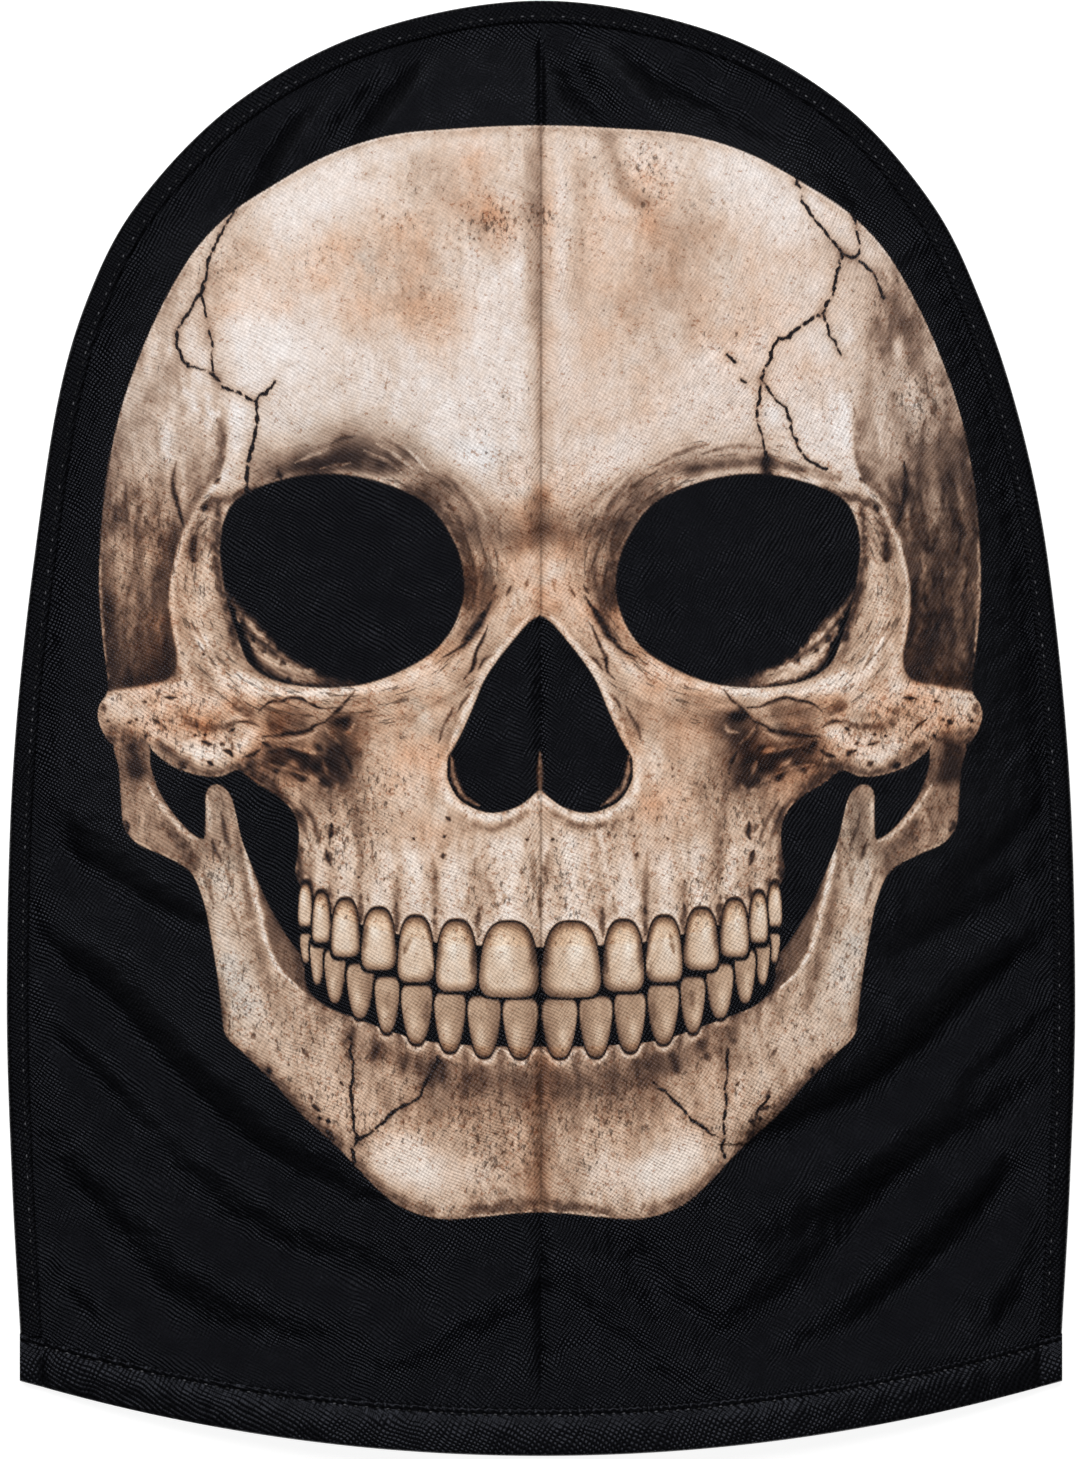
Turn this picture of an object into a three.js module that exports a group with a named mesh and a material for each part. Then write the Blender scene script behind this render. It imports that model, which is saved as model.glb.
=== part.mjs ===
// Cloth hood mask with a printed skull front, empty and laid flat with its front up.
// Millimetres, +Z up, +Y to the crown. The origin is on the surface under it, at the middle of its outline.
// Two printed front halves meet at a seam down the middle, and a plain back lies under them. A folded tape
// binds the rim from one lower corner over the crown to the other. A turned hem edges the open mouth.

import * as THREE from "three";

// Driving sizes
const HEIGHT = 367; // crown to the lowest point of the hem
const CLOTH = 1.2; // wall of the panels, measured upright
const GAP = 0.3; // clearance between sewn pieces
const BINDING_WIDTH = 5.5; // tape seen from above
const BINDING_WALL = 1;
const BINDING_EDGE = 0.9; // bevel of the tape's outer fold
const HEM_DEPTH = 12; // turned hem, along the panel
const HEM_WALL = 2.4; // two layers of cloth
const HEM_DROP = 18.3; // how far the mouth's edge bows down from its corners to the seam
const CREST = 21; // rise of the front's middle above its rim
const RISE_RUN = 118; // distance in from the tape over which the front reaches its crest
const RISE_POWER = 2.4; // higher is a fuller, flatter-topped front
const MOUTH_SHARE = 0.58; // part of the rise that is left at the mouth
const MOUTH_RUN = 120; // distance up from the hem over which the full rise comes back
const BACK_MARGIN = 14; // width over which the back lifts off the surface to enter the tape

// The outline's half-width at distances below the crown. The crown is close to an arc of 126 mm.
const OUTLINE = [
  { down: 0, half: 0 },
  { down: 7.6, half: 42.7 },
  { down: 25.3, half: 75.8 },
  { down: 50.5, half: 99.8 },
  { down: 75.8, half: 112.9 },
  { down: 106, half: 122 },
  { down: 146.5, half: 128.8 },
  { down: 197, half: 133.6 },
  { down: 252.6, half: 135 },
  { down: 298, half: 133.7 },
  { down: 336.7, half: 131.6 },
];

// The front's folds: each runs from a point by way of a bend to its end, and rises or sinks over its width
const FOLDS = [
  { name: "left cheek dip", from: [-128, -27], bend: [-109, -39], to: [-87, -50], width: 5, rise: -2 },
  { name: "left cheek ridge", from: [-127, -41], bend: [-108, -55], to: [-84, -76], width: 7, rise: 2 },
  { name: "left jaw dip", from: [-128, -56], bend: [-108, -71], to: [-71, -106], width: 6, rise: -3 },
  { name: "left neck dip", from: [-108, -98], bend: [-76, -132], to: [-32, -145], width: 7, rise: -2.4 },
  { name: "left neck ridge", from: [-125, -92], bend: [-96, -131], to: [-41, -161], width: 8, rise: 2.4 },
  { name: "left hem dip", from: [-127, -110], bend: [-95, -147], to: [-58, -164], width: 7, rise: -3 },
  { name: "right cheek dip", from: [128, -22], bend: [117, -27], to: [106, -34], width: 5, rise: -2 },
  { name: "right cheek ridge", from: [127, -40], bend: [108, -52], to: [88, -66], width: 7, rise: 2 },
  { name: "right jaw dip", from: [128, -55], bend: [104, -72], to: [78, -96], width: 6, rise: -3 },
  { name: "right neck dip", from: [119, -95], bend: [86, -126], to: [60, -145], width: 6, rise: -2 },
  { name: "right neck ridge", from: [127, -100], bend: [95, -136], to: [60, -158], width: 7, rise: 2.4 },
  { name: "right hem dip", from: [128, -110], bend: [104, -137], to: [60, -165], width: 7, rise: -3 },
  { name: "throat ridge", from: [17, -127], bend: [30, -142], to: [51, -162], width: 7, rise: 2 },
  { name: "left crown crease", from: [-35, 170], bend: [-44, 160], to: [-53, 148], width: 4.5, rise: -1.6 },
  { name: "left brow crease", from: [-62, 159], bend: [-71, 146], to: [-79, 130], width: 4.5, rise: -1.6 },
  { name: "right crown crease", from: [6, 172], bend: [12, 157], to: [22, 140], width: 4.5, rise: -1.6 },
  { name: "right brow crease", from: [48, 166], bend: [66, 157], to: [81, 143], width: 5, rise: -1.6 },
];
const FOLD_STEPS = 12;
const FOLD_TAPER = 0.08; // how far short of its ends a fold's rise would reach nothing
const FOLD_FADE = 10; // folds die out over this distance at the tape and the hem

// How finely the surfaces are divided
const FRONT_GRID = { columns: 15, rows: 50 };
const BACK_GRID = { columns: 3, rows: 44 };
const HEM_GRID = { columns: 36, rows: 2 };
const BINDING_STEPS = 84;
const RIM_SAMPLES = 160;
const RIM_LENGTH_STEPS = 2000; // for even spacing round the rim
const TOGETHER = 1e-3; // points closer than this are one point

const CLOTH_BLACK = 0x15151a;
const TAPE_BLACK = 0x101014;
const BONE = 0xc9ac92;
const PRINT_ROUGHNESS = 0.85;
const CLOTH_ROUGHNESS = 0.9;

// Heights of the layers in the rim, from the surface up: tape, back, front, tape
const CROWN_Y = HEIGHT / 2;
const BACK_RIM = BINDING_WALL + GAP;
const FRONT_RIM = BACK_RIM + CLOTH + GAP;
const FRONT_RIM_TOP = FRONT_RIM + CLOTH;
const BINDING_HEIGHT = FRONT_RIM_TOP + GAP + BINDING_WALL;
const HEM_PROUD = BINDING_HEIGHT - FRONT_RIM_TOP;
const RIM_INSET = BINDING_WALL + GAP; // the panels' edges stop short of the tape's fold

const CORNER = OUTLINE[OUTLINE.length - 1];
const CORNER_Y = CROWN_Y - CORNER.down;

const share = (value, low, high) => THREE.MathUtils.clamp((value - low) / (high - low), 0, 1);
const mix = THREE.MathUtils.lerp;
const smooth = THREE.MathUtils.smoothstep;

// The rim from the left lower corner over the crown to the right one
function rimCurve() {
  const right = OUTLINE.map(({ down, half }) => new THREE.Vector3(half, CROWN_Y - down, 0));
  const left = right.slice(1).map((p) => new THREE.Vector3(-p.x, p.y, 0));
  return new THREE.CatmullRomCurve3([...left.reverse(), ...right], false, "centripetal");
}

const RIM = rimCurve();
RIM.arcLengthDivisions = RIM_LENGTH_STEPS;
const RIM_POINTS = RIM.getSpacedPoints(RIM_SAMPLES);

// A point of the rim moved into the mask, at a share of the way round from the left corner
function rimInset(way, inset) {
  const point = RIM.getPointAt(way);
  const along = RIM.getTangentAt(way);
  return new THREE.Vector2(point.x + along.y * inset, point.y - along.x * inset);
}

function distanceToPath(points, x, y) {
  let best = { distance: Infinity, way: 0 };
  for (let i = 1; i < points.length; i++) {
    const [a, b] = [points[i - 1], points[i]];
    const [dx, dy] = [b.x - a.x, b.y - a.y];
    const along = THREE.MathUtils.clamp(((x - a.x) * dx + (y - a.y) * dy) / (dx * dx + dy * dy), 0, 1);
    const distance = Math.hypot(x - a.x - dx * along, y - a.y - dy * along);
    if (distance < best.distance) best = { distance, way: (i - 1 + along) / (points.length - 1) };
  }
  return best;
}

const rimDistance = (x, y) => distanceToPath(RIM_POINTS, x, y).distance;

// The mouth's lower edge, and the line where the hem is sewn
const mouthEdge = (x) => CORNER_Y - HEM_DEPTH - HEM_DROP * (1 - (x / CORNER.half) ** 2);
const hemLine = (x) => mouthEdge(x) + HEM_DEPTH;

const FOLD_PATHS = FOLDS.map(({ from, bend, to, width, rise }) => {
  const points = [from, bend, to].map(([x, y]) => new THREE.Vector2(x, y));
  return { path: new THREE.SplineCurve(points).getPoints(FOLD_STEPS), width, rise };
});

function foldHeight(x, y) {
  return FOLD_PATHS.reduce((height, { path, width, rise }) => {
    const { distance, way } = distanceToPath(path, x, y);
    const taper = Math.sqrt(Math.sin(Math.PI * mix(FOLD_TAPER, 1 - FOLD_TAPER, way)));
    return height + rise * taper * Math.exp(-((distance / width) ** 2));
  }, 0);
}

// The front's outer face: an inflated form that rises from the tape and is open at the mouth
function frontTop(x, y) {
  const fromTape = rimDistance(x, y) - BINDING_WIDTH - GAP;
  const aboveHem = y - hemLine(x);
  const rise = CREST * (1 - (1 - share(fromTape, 0, RISE_RUN)) ** RISE_POWER);
  const mouth = mix(MOUTH_SHARE, 1, smooth(aboveHem, 0, MOUTH_RUN));
  const fade = share(fromTape, 0, FOLD_FADE) * share(aboveHem, 0, FOLD_FADE);
  return FRONT_RIM_TOP + rise * mouth + foldHeight(x, y) * fade;
}

// The back's lower face: flat on the surface, lifting to enter the tape
const backUnder = (x, y) => BACK_RIM * (1 - smooth(rimDistance(x, y), BINDING_WIDTH, BACK_MARGIN));

// A closed wall over rows of plan points, between an upper and a lower height.
// Rows run from left to right, and points that fall together close up. A sheet whose last row folds back on
// itself needs no wall there.
function wall(planRows, upper, lower, lastRowFolds = false) {
  const rows = planRows.length - 1;
  const columns = planRows[0].length - 1;
  const points = [upper, lower].flatMap((height) =>
    planRows.flat().map(({ x, y }) => new THREE.Vector3(x, y, height(x, y))),
  );
  const index = (face) => (i, j) => (face * (rows + 1) + j) * (columns + 1) + i;
  const [top, bottom] = [index(0), index(1)];
  const triangles = [];
  const triangle = (a, b, c) => {
    const [p, q, r] = [a, b, c].map((k) => points[k]);
    const together = Math.min(p.distanceTo(q), q.distanceTo(r), r.distanceTo(p)) < TOGETHER;
    if (!together) triangles.push(a, b, c);
  };
  const quad = (a, b, c, d) => {
    triangle(a, b, c);
    triangle(a, c, d);
  };
  for (let j = 0; j < rows; j++) {
    for (let i = 0; i < columns; i++) {
      quad(top(i, j), top(i + 1, j), top(i + 1, j + 1), top(i, j + 1));
      quad(bottom(i, j), bottom(i, j + 1), bottom(i + 1, j + 1), bottom(i + 1, j));
    }
    quad(bottom(0, j), top(0, j), top(0, j + 1), bottom(0, j + 1));
    quad(top(columns, j), bottom(columns, j), bottom(columns, j + 1), top(columns, j + 1));
  }
  for (let i = 0; i < columns; i++) {
    quad(bottom(i, 0), bottom(i + 1, 0), top(i + 1, 0), top(i, 0));
    if (!lastRowFolds) quad(top(i, rows), top(i + 1, rows), bottom(i + 1, rows), bottom(i, rows));
  }
  const geometry = new THREE.BufferGeometry().setFromPoints(points);
  geometry.setIndex(triangles);
  geometry.computeVertexNormals();
  return geometry;
}

// One row of a right half panel, from the middle line to the rim. Its place along is 0 at the hem, 1 at the
// crown. The field has even columns and bows up as the mouth's edge does. Strips beside the rim follow the
// insets given.
function halfRow(along, middleX, columns, insets) {
  const way = mix(1, 0.5, along);
  const fieldEdge = rimInset(way, insets[0]);
  const middleY = mix(hemLine(0), rimInset(0.5, insets[0]).y, along);
  const field = Array.from({ length: columns + 1 }, (_, i) => {
    const across = i / columns;
    return new THREE.Vector2(mix(middleX, fieldEdge.x, across), mix(middleY, fieldEdge.y, across ** 2));
  });
  const strips = insets.slice(1).map((inset) => rimInset(way, inset));
  return [...field, ...strips].map(({ x, y }) => {
    const right = Math.max(x, middleX);
    return new THREE.Vector2(right, along === 0 ? hemLine(right) + GAP : y);
  });
}

const mirrored = (row) => row.map(({ x, y }) => new THREE.Vector2(-x, y)).reverse();
const panelRows = (count, row) => Array.from({ length: count + 1 }, (_, j) => row(j / count));

function frontHalf(side) {
  const insets = [BINDING_WIDTH + GAP, RIM_INSET];
  const rows = panelRows(FRONT_GRID.rows, (along) => {
    const row = halfRow(along, GAP / 2, FRONT_GRID.columns, insets);
    return side > 0 ? row : mirrored(row);
  });
  return wall(rows, frontTop, (x, y) => frontTop(x, y) - CLOTH);
}

function backPanel() {
  const insets = [BACK_MARGIN, BINDING_WIDTH + GAP, RIM_INSET];
  const rows = panelRows(BACK_GRID.rows, (along) => {
    const row = halfRow(along, 0, BACK_GRID.columns, insets);
    return [...mirrored(row), ...row.slice(1)];
  });
  return wall(rows, (x, y) => backUnder(x, y) + CLOTH, backUnder, true);
}

// A hem strip across the mouth, over the full width of the outline
function hem(underside) {
  const rows = panelRows(HEM_GRID.rows, (along) =>
    panelRows(HEM_GRID.columns, (across) => {
      const x = mix(-CORNER.half, CORNER.half, across);
      return new THREE.Vector2(x, mix(mouthEdge(x), hemLine(x), along));
    }),
  );
  return wall(rows, (x) => underside(x) + HEM_WALL, underside);
}

const frontHemUnder = (x) => frontTop(x, hemLine(x)) + HEM_PROUD - HEM_WALL;

// The tape: a channel section that closes over the edges of front and back, carried round the rim
function binding() {
  const [wide, high, thick, edge] = [BINDING_WIDTH, BINDING_HEIGHT, BINDING_WALL, BINDING_EDGE];
  const section = [
    [0, edge], [edge, 0], [wide, 0], [wide, thick], [thick, thick],
    [thick, high - thick], [wide, high - thick], [wide, high], [edge, high], [0, high - edge],
  ];
  const start = GAP / RIM.getLength();
  const points = [];
  for (let step = 0; step <= BINDING_STEPS; step++)
    for (const [inward, z] of section) {
      const plan = rimInset(mix(start, 1 - start, step / BINDING_STEPS), inward);
      points.push(new THREE.Vector3(plan.x, plan.y, z));
    }
  const corners = section.length;
  const triangles = [];
  for (let step = 0; step < BINDING_STEPS; step++)
    for (let k = 0; k < corners; k++) {
      const [a, b] = [step * corners + k, step * corners + ((k + 1) % corners)];
      triangles.push(a, a + corners, b + corners, a, b + corners, b);
    }
  const ends = THREE.ShapeUtils.triangulateShape(section.map(([x, y]) => new THREE.Vector2(x, y)), []);
  const last = BINDING_STEPS * corners;
  for (const [a, b, c] of ends) triangles.push(a, b, c, last + a, last + c, last + b);
  const geometry = new THREE.BufferGeometry().setFromPoints(points);
  geometry.setIndex(triangles);
  geometry.computeVertexNormals();
  return geometry;
}

function piece(name, geometry, color, roughness) {
  const made = new THREE.Mesh(geometry, new THREE.MeshStandardMaterial({ color, roughness, metalness: 0 }));
  made.name = name;
  return made;
}

const mask = new THREE.Group();
mask.add(
  piece("front_left", frontHalf(-1), BONE, PRINT_ROUGHNESS),
  piece("front_right", frontHalf(1), BONE, PRINT_ROUGHNESS),
  piece("back_panel", backPanel(), CLOTH_BLACK, CLOTH_ROUGHNESS),
  piece("rim_binding", binding(), TAPE_BLACK, CLOTH_ROUGHNESS),
  piece("hem_front", hem(frontHemUnder), CLOTH_BLACK, CLOTH_ROUGHNESS),
  piece("hem_back", hem(() => 0), CLOTH_BLACK, CLOTH_ROUGHNESS),
);

export default mask;
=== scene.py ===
# A cloth hood mask with a printed skull front, laid flat on a table with its front up.
# Blender's lengths are metres. The shapes below are in millimetres, and MM turns them into metres.
# The print's tables are in steps, and STEP is their length in millimetres.

import bpy
import numpy as np
from bpy.props import FloatProperty, FloatVectorProperty, PointerProperty
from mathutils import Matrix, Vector


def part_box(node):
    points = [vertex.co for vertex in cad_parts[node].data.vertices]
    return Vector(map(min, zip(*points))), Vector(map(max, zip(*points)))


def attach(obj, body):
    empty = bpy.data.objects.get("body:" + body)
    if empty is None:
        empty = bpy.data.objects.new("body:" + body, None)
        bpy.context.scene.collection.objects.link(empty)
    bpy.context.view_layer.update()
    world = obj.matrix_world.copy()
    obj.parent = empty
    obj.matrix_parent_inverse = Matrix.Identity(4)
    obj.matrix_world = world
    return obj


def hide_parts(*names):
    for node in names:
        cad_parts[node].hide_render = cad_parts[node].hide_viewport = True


bl_info = {
    "name": "Printed hood mask",
    "version": (1, 0, 0),
    "blender": (4, 5, 0),
    "location": "View3D > Sidebar > Hood mask",
    "description": "Sews the cloth pieces of a printed hood mask round its solid frame",
    "category": "Object",
}

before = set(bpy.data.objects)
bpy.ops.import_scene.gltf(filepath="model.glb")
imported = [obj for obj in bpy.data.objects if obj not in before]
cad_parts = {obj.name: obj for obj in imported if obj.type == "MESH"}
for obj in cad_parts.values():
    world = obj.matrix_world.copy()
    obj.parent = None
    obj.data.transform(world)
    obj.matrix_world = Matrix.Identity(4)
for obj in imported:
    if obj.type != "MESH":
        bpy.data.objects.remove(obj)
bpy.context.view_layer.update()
MM = 0.001
BODY = "root"

# Sizes of the sewn hood, as the solids have them
CROWN_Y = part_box("rim_binding")[1].y / MM
MOUTH_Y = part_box("hem_front")[0].y / MM
FRONT_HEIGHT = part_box("front_left")[1].z / MM
# Room between two layers of cloth
GAP = 0.3
# How much lower the mouth's edge lies in the middle than at the corners
HEM_DROP = 18.3
# Run from the tape to the crest, and how steep the rise is
RISE_RUN, RISE_POWER = 118, 2.4
# Share of the crest's height at the mouth, and the run from there to the full height
MOUTH_SHARE, MOUTH_RUN = 0.58, 120
# Distance from the rim at which the back lies on the table
BACK_MARGIN = 14
# Height of the waves of slack cloth
SLACK = 0.30
# The sunk middle seam: half-width, depth, and more depth above the print and in other black cloth
SEAM_WIDTH, SEAM_DEPTH, CROWN_SEAM_DEPTH, LOWER_SEAM_DEPTH = 0.9, 0.45, 0.8, 0.4
# Heights between which the print ends above and below, and the middle and half-height of the nose
CROWN_SEAM, CHIN_SEAM = (146, 156), (-121, -127)
NOSE_SEAM_Y, NOSE_SEAM_RUN = 4, 14
# The welt beside the seam: height, place and half-width
WELT, WELT_PLACE, WELT_WIDTH = 0.40, 4.2, 2.2

# The outline's half-width at distances below the crown
OUTLINE = [
    (0, 0), (7.6, 42.7), (25.3, 75.8), (50.5, 99.8), (75.8, 112.9), (106, 122), (146.5, 128.8), (197, 133.6),
    (252.6, 135), (298, 133.7), (336.7, 131.6),
]
CORNER_HALF = OUTLINE[-1][1]
# How far a cloth edge runs on under the piece that covers it
TUCK = 1.2
# The dome lies a little to the left, most of all halfway from a height to the crown
DOME_SHIFT, DOME_FROM = 1.9, 40

# Creases of the front: depth, below 0 for a ridge, widths of the upper and the lower side,
# then the points along it
FOLDS = [
    (1.7, 3.5, 5.5, [(-130, -20), (-121, -26), (-110, -32)]),
    (3.4, 4.2, 7.8, [(-130, -27), (-116, -35), (-97, -46), (-84, -52)]),
    (4.2, 4.5, 9.4, [(-130, -55), (-116, -63), (-106, -72), (-93, -86), (-80, -99), (-66, -110),
        (-50, -118)]),
    (2.2, 3.2, 4.7, [(-130, -75), (-118, -83), (-104, -97)]),
    (3.3, 6.4, 8.6, [(-108, -96), (-94, -110), (-80, -123), (-60, -133), (-36, -140)]),
    (3.4, 6.4, 10.1, [(-128, -109), (-116, -120), (-103, -134), (-93, -145), (-76, -153), (-50, -159)]),
    (1.6, 3.5, 4.7, [(-128, -136), (-118, -147), (-110, -155)]),
    (2.1, 3.5, 4.7, [(130, -20), (117, -31), (104, -42)]),
    (3.2, 4.8, 7, [(127, -36), (110, -47), (92, -56)]),
    (5.0, 4.5, 9.4, [(130, -55), (117, -62), (107, -70), (98, -79), (86, -89), (73, -97), (55, -105)]),
    (2.1, 3.2, 4.7, [(129, -75), (118, -83), (104, -95)]),
    (3.4, 5.4, 7.8, [(130, -88), (113, -99), (101, -106), (83, -118), (66, -129)]),
    (4.0, 5.8, 8.6, [(129, -109), (117, -118), (107, -128), (93, -140), (80, -151), (66, -158)]),
    (3.2, 6.4, 8.6, [(90, -117), (73, -135), (52, -152)]),
    (2.0, 3.5, 4.7, [(125, -138), (119, -148), (115, -156)]),
    (2.4, 6.4, 7, [(20, -128), (30, -143), (50, -160)]),
    (-2.2, 7, 4.5, [(-48, -164), (-22, -150), (-3, -139)]),
    (-2.2, 4.5, 5, [(4, -129), (22, -146), (44, -165)]),
    (3.4, 3.5, 6.2, [(-34, 171), (-42, 160), (-54, 145)]),
    (3.4, 3.5, 6.2, [(-61, 160), (-70, 147), (-79, 133)]),
    (3.0, 3.8, 4.7, [(2, 178), (9, 164), (18, 152)]),
    (2.8, 4.5, 6.2, [(24, 174), (38, 163), (56, 152)]),
    (3.0, 3.8, 5.5, [(52, 163), (70, 148), (88, 128)]),
    (-1.8, 4.0, 4, [(-24, 174), (-32, 162), (-40, 153)]),
    (-1.8, 4.0, 4, [(-51, 165), (-60, 151), (-66, 141)]),
    (-1.8, 4.0, 4, [(12, 176), (22, 162), (30, 153)]),
    (-1.5, 4.0, 4, [(42, 169), (58, 157), (72, 145)]),
]
# Part of the taper left out at a crease's ends, and the distance from tape and hem in which creases fade
FOLD_TAPER, FOLD_FADE = 0.08, 10

# The view straight down: its middle, the length it takes in at the rim's height, and the camera's height
VIEW_MIDDLE = (-0.5, -0.7)
VIEW_TALL = 368.5
RIM_HEIGHT = 4
VIEW_HEIGHT = 3500
SENSOR = 24
# Lights: name, place in metres, width in metres, power in watts
LIGHTS = [
    ("upper softbox", (-0.15, 0.75, 1.85), 1.2, 41.5),
    ("lower fill", (0.3, -1.5, 1.6), 1.2, 2),
]
DAYLIGHT = 0.05
# The table's width in metres, and the light that it gives itself
TABLE_WIDTH, TABLE_GLOW = 6, 0.90
WHITE = (1, 1, 1, 1)


class HoodSizes(bpy.types.PropertyGroup):
    """Thicknesses and widths of the cloth pieces"""

    cloth: FloatProperty(
        name="Cloth", description="Thickness of the panels", default=1.2 * MM, unit="LENGTH")
    tape_width: FloatProperty(
        name="Tape width", description="Rim tape seen from above", default=5.5 * MM, unit="LENGTH")
    tape_wall: FloatProperty(
        name="Tape wall", description="Thickness of the rim tape", default=1.0 * MM, unit="LENGTH")
    hem_depth: FloatProperty(
        name="Hem depth", description="Turned hem along the panel", default=12 * MM, unit="LENGTH")
    hem_wall: FloatProperty(
        name="Hem wall", description="Thickness of the turned hem", default=2.4 * MM, unit="LENGTH")
    stitch: FloatProperty(
        name="Stitch", description="Length of one stitch", default=0.9 * MM, unit="LENGTH")
    stitch_pitch: FloatProperty(
        name="Stitch pitch", description="From one stitch to the next", default=2.7 * MM, unit="LENGTH")
    knit: FloatProperty(
        name="Knit", description="Size of the knit's loops", default=0.85 * MM, unit="LENGTH")


class HoodColors(bpy.types.PropertyGroup):
    """Colours of the cloths, the thread and the table"""

    cloth: FloatVectorProperty(
        name="Cloth", description="Black cloth", default=(0.0009, 0.0009, 0.0012), subtype="COLOR", size=3)
    tape: FloatVectorProperty(
        name="Tape", description="Rim tape", default=(0.0012, 0.0012, 0.0015), subtype="COLOR", size=3)
    thread: FloatVectorProperty(
        name="Thread", description="Stitches", default=(0.05, 0.05, 0.055), subtype="COLOR", size=3)
    fleck: FloatVectorProperty(
        name="Fleck", description="Dark flecks of the printed bone", default=(0.062, 0.031, 0.019),
        subtype="COLOR", size=3)
    stain: FloatVectorProperty(
        name="Stain", description="Light brown specks of the printed bone", default=(0.62, 0.40, 0.29),
        subtype="COLOR", size=3)
    table: FloatVectorProperty(
        name="Table", description="Surface under the mask", default=(0.4, 0.4, 0.4), subtype="COLOR", size=3)


def mm(size):
    """A property's length in millimetres."""
    return size / MM


# The print: the length of a step, the step across and down at the frame's middle, and its own middle line
STEP = 0.2526
FRAME_MIDDLE = (541, 726.75)
MIDDLE = 540.0

# Outlines of one half, as steps out from the middle line and steps down from the frame's top
SKULL = [
    (0, 127), (45, 128), (95, 131), (140, 135), (182, 145), (222, 161), (266, 186), (305, 211), (338, 243),
    (362, 278), (384, 320), (402, 362), (417, 405), (428, 450), (436, 502), (440, 558), (440, 602),
    (436, 645), (431, 688), (440, 706), (441, 720), (434, 736), (424, 744), (394, 742), (385, 752),
    (366, 766), (340, 775), (318, 776), (300, 770), (282, 783), (262, 795), (246, 811), (240, 830),
    (241, 852), (243, 872), (234, 890), (205, 914), (120, 938), (60, 944), (0, 946),
]
TEMPLE = [
    (340, 262), (330, 310), (318, 360), (312, 400), (312, 440), (318, 474), (340, 508), (358, 542),
    (368, 580), (369, 605), (366, 630), (362, 655), (364, 672), (376, 682), (400, 687), (432, 692),
    (460, 690), (460, 262),
]
JAW = [
    (0, 1210), (24, 1211), (60, 1215), (92, 1217), (118, 1213), (142, 1203), (162, 1187), (180, 1168),
    (206, 1141), (238, 1112), (266, 1080), (295, 1052), (313, 1034), (317, 1010), (322, 970), (329, 930),
    (334, 905), (344, 878), (356, 865), (380, 853), (402, 843), (415, 826), (418, 800), (420, 770),
    (424, 742), (392, 742), (388, 766), (380, 790), (366, 812), (350, 830), (338, 838), (334, 836),
    (333, 812), (333, 795), (328, 786), (318, 785), (308, 795), (303, 812), (297, 838), (288, 862),
    (272, 900), (252, 935), (236, 958), (232, 985), (214, 1004), (180, 1018), (120, 1038), (60, 1044),
    (0, 1045),
]
JAW_INSIDE = [
    (302, 809), (292, 842), (286, 875), (279, 907), (271, 940), (259, 967), (240, 986), (223, 996),
    (218, 985), (226, 964), (246, 934), (266, 901), (286, 852),
]
ORBIT = [
    (75, 590), (79, 559), (89, 536), (102, 516), (121, 499), (154, 485), (187, 477), (220, 475), (253, 480),
    (284, 490), (305, 503), (315, 522), (319, 545), (317, 570), (313, 595), (305, 624), (296, 651),
    (289, 664), (274, 676), (252, 684), (220, 688), (192, 687), (165, 682), (135, 670), (108, 654),
    (92, 637), (81, 616),
]
ORBIT_FLOOR = [
    (320, 586), (312, 592), (300, 606), (280, 624), (256, 652), (222, 672), (178, 684), (180, 690),
    (226, 687), (262, 678), (282, 664), (292, 640), (304, 612),
]
NOSE = [
    (0, 616), (12, 624), (30, 645), (44, 663), (56, 682), (66, 706), (76, 729), (84, 745), (91, 757),
    (92, 768), (91, 780), (80, 799), (60, 810), (42, 812), (20, 805), (0, 789),
]
# The lit edge of the jaw's upright part: tone, width, path
JAW_EDGE = (0.85, 2.8, [
    (305, 800), (302, 811), (294, 842), (288, 875), (280, 907), (272, 940), (260, 967), (240, 987)])
# The lit shelf and the spine at the nose's foot: strength, width, path
NOSE_LIGHTS = [
    (0.5, 2.2, [(89, 756), (86, 776), (76, 795), (60, 805)]),
    (0.45, 2.0, [(0, 752), (0, 796)]),
]

# Lights and shades of the orbit's floor and of the teeth: tone, lighter above 0 and darker below, width, path
FLOOR_SHADES = [
    (0.35, 2.6, [(304, 610), (292, 638), (270, 660), (236, 677)]),
    (-0.60, 2.2, [(298, 620), (286, 634), (268, 650), (244, 665)]),
    (-0.90, 3.0, [(288, 636), (284, 642)]),
    (-0.90, 2.6, [(276, 650), (273, 653)]),
    (-0.90, 3.0, [(258, 659), (253, 664)]),
    (0.25, 2.0, [(284, 630), (262, 652), (238, 668)]),
]
TOOTH_SHADES = [
    (0.55, 2.8, [(118, 924), (112, 946), (107, 968)]),
    (0.50, 2.8, [(80, 926), (76, 948), (70, 966)]),
    (0.45, 3.0, [(156, 916), (152, 934)]),
    (0.30, 7, [(40, 934), (34, 960)]),
    (0.30, 2.4, [(190, 908), (188, 930)]),
    (-0.45, 2.6, [(128, 932), (134, 952)]),
    (-0.35, 3.0, [(66, 948), (67, 972)]),
    (-0.30, 4.0, [(6, 936), (6, 962)]),
    (-0.30, 3.2, [(98, 940), (100, 966)]),
    (-0.35, 3.0, [(172, 926), (174, 948)]),
    (-0.25, 3.0, [(112, 1000), (114, 1020)]),
    (-0.25, 3.0, [(150, 990), (154, 1010)]),
]

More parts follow.
